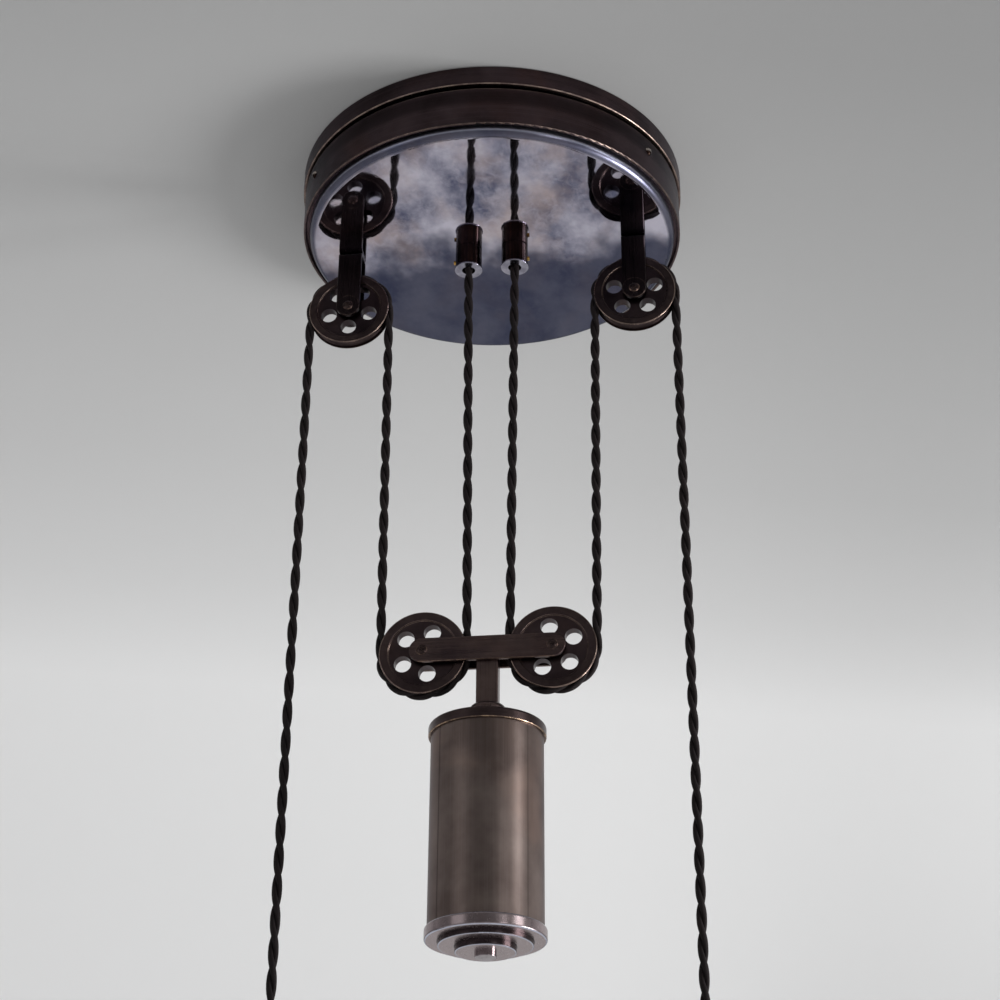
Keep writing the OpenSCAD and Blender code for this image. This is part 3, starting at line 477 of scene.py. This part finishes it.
# Moulded polyamide and glazed steatite: pale, faintly mottled, with a soft waxy or glassy shine.
# Colour = first to second by mottling, with a share of grey-buff specks; height = skin noise.
def mouldedPale(name, given):
    s = {**mouldedUsual, **given}
    material, tree, place = startMaterial(name)
    mottle = {"Vector": place, "Scale": 1 / s["mottle"], "Detail": 4, "Roughness": 0.6}
    colour = clouded(tree, linear(s["first"]), s["second"], mottle, s["mottleSpan"])
    specks = {"Vector": place, "Scale": 1 / s["speck"], "Detail": 3}
    colour = clouded(tree, colour, s["speckColour"], specks, s["speckSpan"], s["speckShare"])
    uneven = addNode(tree, "TexNoise", {"Vector": place, "Scale": 1 / s["uneven"], "Detail": 3})
    roughness = addNode(tree, "MapRange", {0: uneven, 1: 0.3, 2: 0.7, 3: s["rough"][0], 4: s["rough"][1]})
    skin = addNode(tree, "TexNoise", {"Vector": place, "Scale": 1 / s["skin"], "Detail": 3})
    depth = s["bumpDepth"] * mm
    normal = addNode(tree, "Bump", {"Height": skin, "Strength": s["bump"], "Distance": depth})
    shader = addNode(tree, "BsdfPrincipled", {
        "Base Color": colour, "Roughness": roughness, "Normal": normal,
        "Coat Weight": s["coat"], "Coat Roughness": 0.12})
    addNode(tree, "OutputMaterial", {"Surface": shader})
    return material


pales = {name: mouldedPale(name, s) for name, s in mouldedSet.items()}

braidSet = {
    "plait": 0.91,      # width of a plait, the real one's
    "slope": 0.78,      # how steeply the plaits cross
    "yarn": (9, 2.5, 1),    # yarns to a millimetre, round and along
    "dark": "#090606", "light": "#231a1b", "sheen": "#5e525c",
    "faded": "#2a2021", "fade": 18, "fadeSpan": (0.45, 0.7), "fadeShare": 0.4,
    "bump": 0.5, "bumpDepth": 0.25, "rough": (0.62, 0.85),
}


# Braided viscose over a core: near-black brown yarn in crossing plaits with a dull silky sheen.
# The UV map holds millimetres round and along the core. Each plait family is |sin| of round +- slope x
# along; a slower sine along the core picks which family lies on top; yarn noise darkens and dulls it.
# The colour goes dark to light with that height, which is painted shade between the plaits.
def braidedFlex(s):
    material, tree, place = startMaterial("viscose braid, two twisted cores")
    turnPerMm = math.pi / s["plait"]
    uv = addNode(tree, "UVMap", uv_map="coreMillimetres")
    around = addNode(tree, "SeparateXYZ", {0: uv}, out=0)
    along = addNode(tree, "SeparateXYZ", {0: uv}, out=1)
    along = addNode(tree, "Math", {0: along, 1: s["slope"]}, operation="MULTIPLY")
    families = []
    for crossing in ("ADD", "SUBTRACT"):
        phase = addNode(tree, "Math", {0: around, 1: along}, operation=crossing)
        phase = addNode(tree, "Math", {0: phase, 1: turnPerMm}, operation="MULTIPLY")
        wave = addNode(tree, "Math", {0: phase}, operation="SINE")
        families.append(addNode(tree, "Math", {0: wave}, operation="ABSOLUTE"))
    turn = addNode(tree, "Math", {0: along, 1: turnPerMm}, operation="MULTIPLY")
    onTop = addNode(tree, "Math", {0: turn}, operation="SINE")
    onTop = addNode(tree, "MapRange", {0: onTop, 1: -0.3, 2: 0.3})
    height = addNode(tree, "Mix", {0: onTop, 2: families[1], 3: families[0]}, data_type="FLOAT")

    yarn = addNode(tree, "Mapping", {0: uv, "Scale": s["yarn"]})
    yarn = addNode(tree, "TexNoise", {"Vector": yarn, "Scale": 1})
    lit = addNode(tree, "MapRange", {0: yarn, 1: 0.3, 2: 0.7, 3: 0.5, 4: 1.0})
    lit = addNode(tree, "Math", {0: height, 1: lit}, operation="MULTIPLY")
    shades = {0: lit, 6: linear(s["dark"]), 7: linear(s["light"])}
    colour = addNode(tree, "Mix", shades, 2, **asColour)
    fade = {"Vector": place, "Scale": 1 / s["fade"], "Detail": 3}
    colour = clouded(tree, colour, s["faded"], fade, s["fadeSpan"], s["fadeShare"])
    roughness = addNode(tree, "MapRange", {0: yarn, 1: 0.3, 2: 0.7, 3: s["rough"][0], 4: s["rough"][1]})
    depth = s["bumpDepth"] * mm
    normal = addNode(tree, "Bump", {"Height": lit, "Strength": s["bump"], "Distance": depth})
    shader = addNode(tree, "BsdfPrincipled", {
        "Base Color": colour, "Roughness": roughness, "Normal": normal, "Specular IOR Level": 0.25,
        "Sheen Weight": 0.08, "Sheen Roughness": 0.4, "Sheen Tint": linear(s["sheen"])})
    addNode(tree, "OutputMaterial", {"Surface": shader})
    return material


flexMaterial = braidedFlex(braidSet)
print("materials made")


# meshes from whole arrays
def gridMesh(name, grid, uv=None, wrapAlong=False):
    # grid is (along, around, 3). Faces join neighbours and close round, and along too if wrapped;
    # otherwise each end closes on its middle point. All are turned outward by the sign of the volume,
    # the sum of a . (b x c) / 6.
    along, around = grid.shape[:2]
    points = grid.reshape(-1, 3)
    i = np.arange(along if wrapAlong else along - 1)[:, None]
    j = np.arange(around)[None, :]
    i2, j2 = (i + 1) % along, (j + 1) % around
    sides = [i * around + j, i * around + j2, i2 * around + j2, i2 * around + j]
    quads = np.stack(sides, -1).reshape(-1, 4)
    triangles = np.zeros((0, 3), int)
    if not wrapAlong:
        points = np.vstack([points, grid[0].mean(0), grid[-1].mean(0)])
        k = np.arange(around)
        k2 = (k + 1) % around
        start, end = np.full(around, along * around), np.full(around, along * around + 1)
        row = (along - 1) * around
        triangles = np.vstack([np.stack([start, k2, k], -1), np.stack([end, row + k, row + k2], -1)])
    a, b, c, d = (points[quads[:, n]] for n in range(4))
    volume = (np.cross(a, b) * c).sum() + (np.cross(a, c) * d).sum()
    if len(triangles):
        p, q, r = (points[triangles[:, n]] for n in range(3))
        volume += (np.cross(p, q) * r).sum()
    if volume < 0:
        quads, triangles = quads[:, ::-1], triangles[:, ::-1]
    mesh = bpy.data.meshes.new(name)
    mesh.from_pydata(points.tolist(), [], quads.tolist() + triangles.tolist())
    mesh.polygons.foreach_set("use_smooth", np.ones(len(mesh.polygons), bool))
    if uv is not None:
        writeUv(mesh, uv, along, around, len(quads) * 4)
    mesh.update()
    piece = bpy.data.objects.new(name, mesh)
    scene.collection.objects.link(piece)
    return piece


def writeUv(mesh, uv, along, around, quadLoops):
    # uv is (along, around + 1, 2): the last column closes the seam; an end's middle takes its ring's row
    layer = mesh.uv_layers.new(name="coreMillimetres")
    loops = np.zeros(len(mesh.loops), np.int32)
    mesh.loops.foreach_get("vertex_index", loops)
    row, column = np.minimum(loops // around, along - 1), loops % around
    faceColumns = column[:quadLoops].reshape(-1, 4)
    seam = (faceColumns.max(1) - faceColumns.min(1)) > 1
    column[:quadLoops] = np.where(seam[:, None] & (faceColumns == 0), around, faceColumns).ravel()
    layer.data.foreach_set("uv", uv[row, column].astype(np.float32).ravel())


def turnedGrid(x, section, angle, cut=0.0):
    # x + (r - cut) cos a, (r - cut) sin a, height: a section of radius and height turned about x
    radius = section[:, :1] - cut
    height = section[:, 1:] + 0 * angle
    return np.stack([x + radius * np.cos(angle), radius * np.sin(angle), height], -1)


def joined(name, pieces, material):
    # one object of several meshes, keeping their UV maps
    bpy.ops.object.select_all(action="DESELECT")
    for piece in pieces:
        piece.select_set(True)
    bpy.context.view_layer.objects.active = pieces[0]
    bpy.ops.object.join()
    pieces[0].name = pieces[0].data.name = name
    pieces[0].data.materials.append(material)
    return pieces[0]


# flexes: two braided cores twisted into each, from the terminal block to the lampholder
flexSet = {
    "coreOff": 1.55,     # from the flex's middle to a core's middle
    "coreDeep": 1.55,    # half of a core towards the flex's middle
    "coreWide": 1.95,    # half of a core across that
    "step": 1.3,         # between rings
    "round": 16,
    "across": 6.2,       # the pair's overall diameter
    "wrapRadius": 27.1,  # from a pulley's axle to the flex's middle
    "blockBottom": heightsOf("terminal_block")[0],
    "gripX": middleOf("cord_grip_right")[0],
    "gripFoot": heightsOf("cord_grip_rings")[0],
    "holderTop": heightsOf("holder_cap_left")[1],
    "insideHolder": 10,  # how far it runs into the holder's cap
}
# where the two cores stand one behind the other as the viewer sees them: a height on each stretch, the
# drop from one such place to the next, and the direction to the viewer in degrees from +X
twistSet = {
    "left": {"inner": (-105.6, 17.94, -82.1), "middle": (-144.4, 17.69, -79.6),
             "outer": (-138.2, 18.67, -76.8)},
    "right": {"inner": (-97.8, 17.99, -83.4), "middle": (-145.2, 16.61, -86.1),
              "outer": (-140.0, 17.20, -88.9)},
}
# each stretch's body, the body that its far end follows, and the node that it stands for
flexBodies = {
    "tail": ("canopy", None, "flex_tails"),
    "inner": ("canopy", "counterweight", "flex_inner_"),
    "lowerWrap": ("counterweight", None, "flex_lower_wrap_"),
    "middle": ("counterweight", "canopy", "flex_middle_"),
    "upperWrap": ("canopy", None, "flex_upper_wrap_"),
    "outer": ("canopy", "lampholder_", "flex_outer_"),
}


def straightPart(start, end, step):
    # start + share x (end - start), shares evenly spaced about step apart
    count = max(2, int(math.dist(start, end) / step))
    return np.linspace(start, end, count)


def halfCircle(x, z, radius, fromAngle, toAngle, step):
    # x + r cos a, z + r sin a
    angle = np.linspace(fromAngle, toAngle, int(math.pi * radius / step))
    return np.stack([x + radius * np.cos(angle), z + radius * np.sin(angle)], -1)


def flexRoute(side, s):
    # the middle line in the plane y = 0: its points, unit directions, lengths and each stretch's samples
    r, step = s["wrapRadius"], s["step"]
    lowX, _, lowZ = lowerAxle
    highX, _, highZ = upperAxle
    outerX, holderTop = highX + r, s["holderTop"]
    foot = (s["gripX"], s["gripFoot"])
    parts = {
        "tail": straightPart((s["gripX"], s["blockBottom"]), foot, step),
        "inner": straightPart(foot, (lowX - r, lowZ), step),
        "lowerWrap": halfCircle(lowX, lowZ, r, math.pi, 2 * math.pi, step),
        "middle": straightPart((lowX + r, lowZ), (highX - r, highZ), step),
        "upperWrap": halfCircle(highX, highZ, r, math.pi, 0, step),
        "outer": straightPart((outerX, highZ), (outerX, holderTop - s["insideHolder"]), step),
    }
    points, spans, count = [], {}, 0
    for name, part in parts.items():
        start = max(0, count - 1)          # a stretch starts on the last sample of the one before
        part = part[1:] if points else part
        points.append(part)
        count += len(part)
        spans[name] = slice(start, count)
    flat = np.vstack(points) * ((-1 if side == "left" else 1), 1)
    length = np.concatenate([[0], np.cumsum(np.linalg.norm(np.diff(flat, axis=0), axis=1))])
    ahead = np.gradient(flat, length, axis=0)
    ahead /= np.linalg.norm(ahead, axis=1)[:, None]
    return flat, ahead, length, spans


def twistAngles(side, flat, length, spans):
    # the pair's angle in its own ring at every sample: each straight stretch turns steadily through its
    # measured places, and each half circle takes the whole number of half turns nearest the usual twist
    places, angles, usual = [], [], None
    for name in ("inner", "middle", "outer"):
        z0, half, facing = twistSet[side][name]
        ends = [spans[name].start, spans[name].stop - 1]
        turn = 1 if name == "middle" else -1    # going up, the ring's first axis is +X, going down -X
        angle = turn * (math.radians(facing) + math.pi * (z0 - flat[ends, 1]) / half)
        rate = (angle[1] - angle[0]) / (length[ends[1]] - length[ends[0]])
        if places:
            expected = angles[-1] + (usual + rate) / 2 * (length[ends[0]] - places[-1])
            angle = angle + math.pi * round((expected - angle[0]) / math.pi)
        else:
            places, angles = [0.0], [angle[0] - rate * length[ends[0]]]     # the tail above the grip
        places += list(length[ends])
        angles += list(angle)
        usual = rate
    return np.interp(length, places, angles)


def twistedPair(name, flat, ahead, length, angle, s):
    # core = route + coreOff out + coreDeep cos v out + coreWide sin v beside, where out turns with the
    # twist angle; the second core stands half a turn round
    level = np.zeros(len(flat))
    normal = np.stack([ahead[:, 1], level, -ahead[:, 0]], -1)       # Y x direction
    middle = np.stack([flat[:, 0], level, flat[:, 1]], -1)
    toBack = np.array([0.0, 1.0, 0.0])
    v = np.linspace(0, 2 * math.pi, s["round"], endpoint=False)[None, :, None]
    rim = (s["coreDeep"] + s["coreWide"]) * math.pi
    around = np.linspace(0, rim, s["round"] + 1)[None, :]
    uv = np.stack(np.broadcast_arrays(around, length[:, None]), -1)
    cores = []
    for half in (0, math.pi):
        turn = (angle + half)[:, None]
        out = (np.cos(turn) * normal + np.sin(turn) * toBack)[:, None, :]
        beside = (-np.sin(turn) * normal + np.cos(turn) * toBack)[:, None, :]
        grid = middle[:, None, :] + (s["coreOff"] + s["coreDeep"] * np.cos(v)) * out
        grid = grid + s["coreWide"] * np.sin(v) * beside
        cores.append(gridMesh(name, grid * mm, uv))
    return joined(name, cores, flexMaterial)


def makeFlexes(s):
    for side in ("left", "right"):
        flat, ahead, length, spans = flexRoute(side, s)
        angle = twistAngles(side, flat, length, spans)
        for name, (first, second, node) in flexBodies.items():
            span = spans[name]
            title = "flex" + name[0].upper() + name[1:] + side.capitalize()
            piece = twistedPair(title, flat[span], ahead[span], length[span], angle[span], s)
            path = np.stack([flat[span, 0], np.zeros(len(flat[span])), flat[span, 1]], -1) * mm
            if second:
                # the far end's point, no lower than the holder's top, and its body are worked out but not
                # used; the piece is baked where it stands
                foot = path[-1].copy()
                foot[2] = max(foot[2], s["holderTop"] * mm)
                second = second + side if second.endswith("_") else second
                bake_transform(piece)
            else:
                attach(piece, first)
            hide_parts(node + side if node.endswith("_") else node)
        print("flex", side, "is", round(float(length[-1])), "mm long")


makeFlexes(flexSet)


# lamp sockets and knurled shade rings, on the two lampholders
shellLow, contactTop = heightsOf("holder_contacts_left")
holderSet = {
    "x": middleOf("holder_body_right")[0],
    "shellTop": contactTop - 3, "shellLow": shellLow,       # the threaded shell's ends
    "crest": 12.3, "depth": 1.0, "pitch": 3.62, "wall": 0.45, "flare": 0.95,    # E27 rolled thread
    "fade": 1.0, "shellRings": 74, "round": 64,
    "contactRadius": 4.0, "contactTop": contactTop, "contactLow": contactTop - 2.5,
    "contactCorner": 0.8, "contactBend": 0.6, "contactCrown": 1.6, "contactDome": 0.35,
    "ringMiddle": middleOf("shade_ring_left")[2], "ringStep": 0.7,
    "knurls": 72, "knurlDepth": 0.45, "knurlFrom": 26.6, "knurlTo": 27.4,
    # shade ring's section, radius and height from its middle, all the way round
    "ringSection": [(20.62, 4.5), (22.9, 4.5), (23.5, 3.9), (23.5, 1.0), (27.2, 1.0), (28.0, 0.3),
                    (28.0, -1.3), (27.2, -2.0), (23.5, -2.0), (23.5, -3.9), (22.9, -4.5), (20.62, -4.5)],
}


def threadedShell(side, s):
    # a tube whose inner and outer wall are both r + depth / 2 (1 - cos(2 pi z / pitch - angle)): a rolled
    # thread that fades out near each end, where a flare seats it in the insert's bore
    x = s["x"] * (-1 if side == "left" else 1)
    angle = np.linspace(0, 2 * math.pi, s["round"], endpoint=False)[None, :]
    z = np.linspace(s["shellLow"], s["shellTop"], s["shellRings"])
    fade = np.clip(np.minimum(z - s["shellLow"], s["shellTop"] - z) / s["fade"], 0, 1)[:, None]
    height = z[:, None] + 0 * angle
    wave = 0.5 * s["depth"] * (1 - fade * np.cos(2 * math.pi * height / s["pitch"] - angle))
    wave = wave + s["flare"] * (1 - fade)
    walls = []
    for radius, order in ((s["crest"] + wave, 1), (s["crest"] + s["wall"] + wave, -1)):
        wall = np.stack([x + radius * np.cos(angle), radius * np.sin(angle), height], -1)
        walls.append(wall[::order])
    shell = gridMesh("threadedShell", np.vstack(walls) * mm, wrapAlong=True)

    # the centre contact is a button: a straight side, a quarter ellipse and a crowned foot
    corner = s["contactCorner"]
    bend = np.linspace(0, math.pi / 2, 8)
    radii = s["contactRadius"] - corner + corner * np.cos(bend)
    levels = s["contactLow"] + s["contactBend"] - s["contactBend"] * np.sin(bend)
    section = np.vstack([[(s["contactRadius"], s["contactTop"])], np.stack([radii, levels], -1),
                         [(s["contactCrown"], s["contactLow"] - s["contactDome"])]])
    contact = gridMesh("contact", turnedGrid(x, section, angle) * mm)
    piece = joined("lampSocket" + side.capitalize(), [shell, contact], metals["bare turned brass"])
    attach(piece, "lampholder_" + side)
    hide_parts("holder_contacts_" + side)


def knurledRing(side, s):
    # the section turned about the holder; past knurlFrom it is cut by knurlDepth |sin(knurls angle / 2)|
    x = s["x"] * (-1 if side == "left" else 1)
    corners = np.array(s["ringSection"] + s["ringSection"][:1])
    lines = [straightPart(a, b, s["ringStep"])[:-1] for a, b in zip(corners[:-1], corners[1:])]
    section = np.vstack(lines) + (0, s["ringMiddle"])
    angle = np.linspace(0, 2 * math.pi, 8 * s["knurls"], endpoint=False)[None, :]
    share = np.clip((section[:, :1] - s["knurlFrom"]) / (s["knurlTo"] - s["knurlFrom"]), 0, 1)
    cut = share * s["knurlDepth"] * np.abs(np.sin(s["knurls"] * angle / 2))
    grid = turnedGrid(x, section, angle, cut)
    piece = gridMesh("shadeRing" + side.capitalize(), grid * mm, wrapAlong=True)
    piece.data.polygons.foreach_set("use_smooth", np.zeros(len(piece.data.polygons), bool))
    piece.data.materials.append(metals["patinated brass, spun lampholder"])
    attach(piece, "lampholder_" + side)
    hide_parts("shade_ring_" + side)


for side in ("left", "right"):
    threadedShell(side, holderSet)
    knurledRing(side, holderSet)
print("lampholders dressed")


# the model's own nodes get their finishes
finishTable = {
    "patinated brass, spun canopy": ["ceiling_plate", "plate_skirt", "canopy_can"],
    "patinated brass, turned grip": ["cord_grip_left", "cord_grip_right"],
    "patinated brass strip, brushed": ["hanger_left", "hanger_right"],
    "patinated brass bar, brushed lengthways": ["yoke_front_bar", "yoke_back_bar"],
    "patinated brass stem, drawn and turned": ["yoke_stem"],
    "patinated steel axle, rubbed bright": ["upper_axles", "lower_axles", "upper_axle_nuts",
                                            "lower_axle_nuts"],
    "patinated brass tube, brushed and lacquered": ["counterweight_tube"],
    "patinated brass cap, turned": ["counterweight_cap"],
    "patinated brass base, polished steps": ["counterweight_base"],
    "nickelled brass nut, polished": ["end_nut"],
    "patinated brass, spun lampholder": ["holder_cap_left", "holder_cap_right", "holder_body_left",
                                         "holder_body_right"],
    "bronzed brass screw, painted glint": ["canopy_side_screws", "hanger_screws"],
    "sintered bronze bush": ["upper_bush_left", "upper_bush_right", "lower_bush_left",
                             "lower_bush_right"],
    "bare turned brass": ["terminal_screws", "earth_post", "cord_grip_screws"],
    "zinc plated steel": ["canopy_bridge", "cord_grip_nuts", "hanger_nuts", "tie_rod"],
    "nickel plated brass ring, turned": ["cord_grip_rings"],
    "cast iron ballast, as cast": ["ballast"],
    "polyamide terminal block, moulded": ["terminal_block"],
    "steatite insert, glazed": ["holder_insert_left", "holder_insert_right"],
}
made = {**metals, **pales}
finishes = {node: made[finish] for finish, names in finishTable.items() for node in names}
finishes.update(pulleyMetals)
finishes["canopy_disc"] = discMaterial
for name, material in finishes.items():
    node = nodes[name]
    if not node.material_slots:
        node.data.materials.append(material)
    for slot in node.material_slots:
        slot.material = material
print("finishes on", len(finishes), "nodes")


# stage: a pale ceiling that is clear from above, and a pale floor
stageSet = {
    "floor": -2.4, "half": 7.0, "ceiling": 0.0004,
    "floorColour": "#d8d8d8", "floorClouds": "#d4d4d4", "floorGlow": 0.34, "ceilingGlow": 0.17,
    # painted light falloff: the ceiling's colour at distances along a direction
    "ceilingAlong": (-0.26, 0.97, 0), "ceilingFrom": -0.9, "ceilingTo": 2.3,
    "paintedCeilingFalloff": ((-0.9, "#7c7c7c"), (-0.17, "#909090"), (0.3, "#aaaaaa"), (0.65, "#b8b8b8"),
                       (0.9, "#c6c6c6"), (1.5, "#cacaca"), (2.2, "#d0d0d0")),
    # and painted falloff from left to right, as a share of it in the near part and in the far part
    "acrossFrom": -0.15, "acrossTo": 0.4, "nearShare": (1.08, 0.82), "farShare": (1.18, 1.0),
    "farFrom": 0.4, "farTo": 0.85,
}
rollerSize, trowelSize = 3.5, 60


def stagePlane(name, half, height, facing, material):
    corners = [(-half, -half, height), (half, -half, height), (half, half, height), (-half, half, height)]
    mesh = bpy.data.meshes.new(name)
    mesh.from_pydata(corners if facing > 0 else corners[::-1], [], [(0, 1, 2, 3)])
    mesh.materials.append(material)
    piece = bpy.data.objects.new(name, mesh)
    scene.collection.objects.link(piece)


# Painted plaster, rolled: matt, with a roller texture. Its colour holds a painted light falloff, darker
# towards the room, lighter further off and darker to the right. Light = a share of its own glow + what
# falls on it; clear from the back.
def plasterCeiling(s):
    material, tree, place = startMaterial("painted plaster ceiling, rolled")
    point = addNode(tree, "TexCoord", out="Object")
    depth = {0: point, 1: s["ceilingAlong"]}
    depth = addNode(tree, "VectorMath", depth, out="Value", operation="DOT_PRODUCT")
    share = addNode(tree, "MapRange", {0: depth, 1: s["ceilingFrom"], 2: s["ceilingTo"]})
    ramp = addNode(tree, "ValToRGB", {0: share})
    stops = ramp.node.color_ramp.elements
    span = s["ceilingTo"] - s["ceilingFrom"]
    for index, (distance, colour) in enumerate(s["paintedCeilingFalloff"]):
        position = (distance - s["ceilingFrom"]) / span
        stop = stops[index] if index < 2 else stops.new(position)
        stop.position, stop.color = position, linear(colour)
    across = addNode(tree, "SeparateXYZ", {0: point}, out=0)
    shares = []
    for leftShare, rightShare in (s["nearShare"], s["farShare"]):
        spread = {0: across, 1: s["acrossFrom"], 2: s["acrossTo"], 3: leftShare, 4: rightShare}
        shares.append(addNode(tree, "MapRange", spread, **softly))
    side = {0: depth, 1: s["farFrom"], 2: s["farTo"], 3: shares[0], 4: shares[1]}
    side = addNode(tree, "MapRange", side)
    ramp = addNode(tree, "Mix", {0: 1.0, 6: ramp, 7: side}, 2, blend_type="MULTIPLY", **asColour)
    glow = addNode(tree, "Emission", {0: ramp, 1: s["ceilingGlow"]})
    rolled = addNode(tree, "TexNoise", {"Vector": place, "Scale": 1 / rollerSize, "Detail": 3})
    normal = addNode(tree, "Bump", {"Height": rolled, "Strength": 0.12, "Distance": 0.3 * mm})
    lit = addNode(tree, "BsdfDiffuse", {0: ramp, "Normal": normal})
    both = addNode(tree, "AddShader", {0: glow, 1: lit})
    back = addNode(tree, "NewGeometry", out="Backfacing")
    clear = addNode(tree, "BsdfTransparent")
    sided = addNode(tree, "MixShader", {0: back, 1: both, 2: clear})
    addNode(tree, "OutputMaterial", {"Surface": sided})
    return material


# Painted screed, trowelled: matt and pale, with faint clouds. Light = a share of its own glow + what
# falls on it.
def paleFloor(s):
    material, tree, place = startMaterial("painted screed floor, trowelled")
    clouds = addNode(tree, "TexNoise", {"Vector": place, "Scale": 1 / trowelSize, "Detail": 3})
    shades = {0: clouds, 6: linear(s["floorColour"]), 7: linear(s["floorClouds"])}
    colour = addNode(tree, "Mix", shades, 2, **asColour)
    glow = addNode(tree, "Emission", {0: colour, 1: s["floorGlow"]})
    lit = addNode(tree, "BsdfDiffuse", {0: colour})
    addNode(tree, "OutputMaterial", {"Surface": addNode(tree, "AddShader", {0: glow, 1: lit})})
    return material


stagePlane("stageCeiling", stageSet["half"], stageSet["ceiling"], -1, plasterCeiling(stageSet))
stagePlane("stageFloor", stageSet["half"], stageSet["floor"], 1, paleFloor(stageSet))


# light: an even pale surround, one soft lamp to the right and weaker ones in front, to the left and
# beside the canopy
lampSet = {
    "key": {"at": (3.1, 0.3, -1.7), "to": (0, 0, -0.05), "size": (1.3, 1.3), "watts": 112},
    "front": {"at": (1.05, -1.25, -0.40), "to": (0, 0, -0.45), "size": (0.3, 0.5), "watts": 1.9},
    "left": {"at": (-0.95, -0.95, -0.16), "to": (0, 0, -0.47), "size": (0.6, 0.6), "watts": 0.9},
    "canopy": {"at": (1.0, -0.35, -0.14), "to": (0.12, -0.05, -0.03), "size": (0.3, 0.2), "watts": 1.1},
}
surroundSet = {"colour": "#cfd0d2", "strength": 0.6}


def makeLamps(table):
    for name, s in table.items():
        data = bpy.data.lights.new(name, "AREA")
        data.shape = "RECTANGLE"
        data.size, data.size_y = s["size"]
        data.energy = s["watts"]
        lamp = bpy.data.objects.new(name, data)
        lamp.location = s["at"]
        lamp.rotation_mode = "QUATERNION"
        lamp.rotation_quaternion = (Vector(s["to"]) - Vector(s["at"])).to_track_quat("-Z", "Y")
        lamp.visible_camera = False
        scene.collection.objects.link(lamp)


def makeWorld(s):
    world = bpy.data.worlds.new("paleSurround")
    world.use_nodes = True
    world.node_tree.nodes.clear()
    light = addNode(world.node_tree, "Background", {0: linear(s["colour"]), 1: s["strength"]})
    addNode(world.node_tree, "OutputWorld", {0: light})
    scene.world = world


makeLamps(lampSet)
makeWorld(surroundSet)
scene.view_settings.view_transform = "Standard"
print("stage and light set")
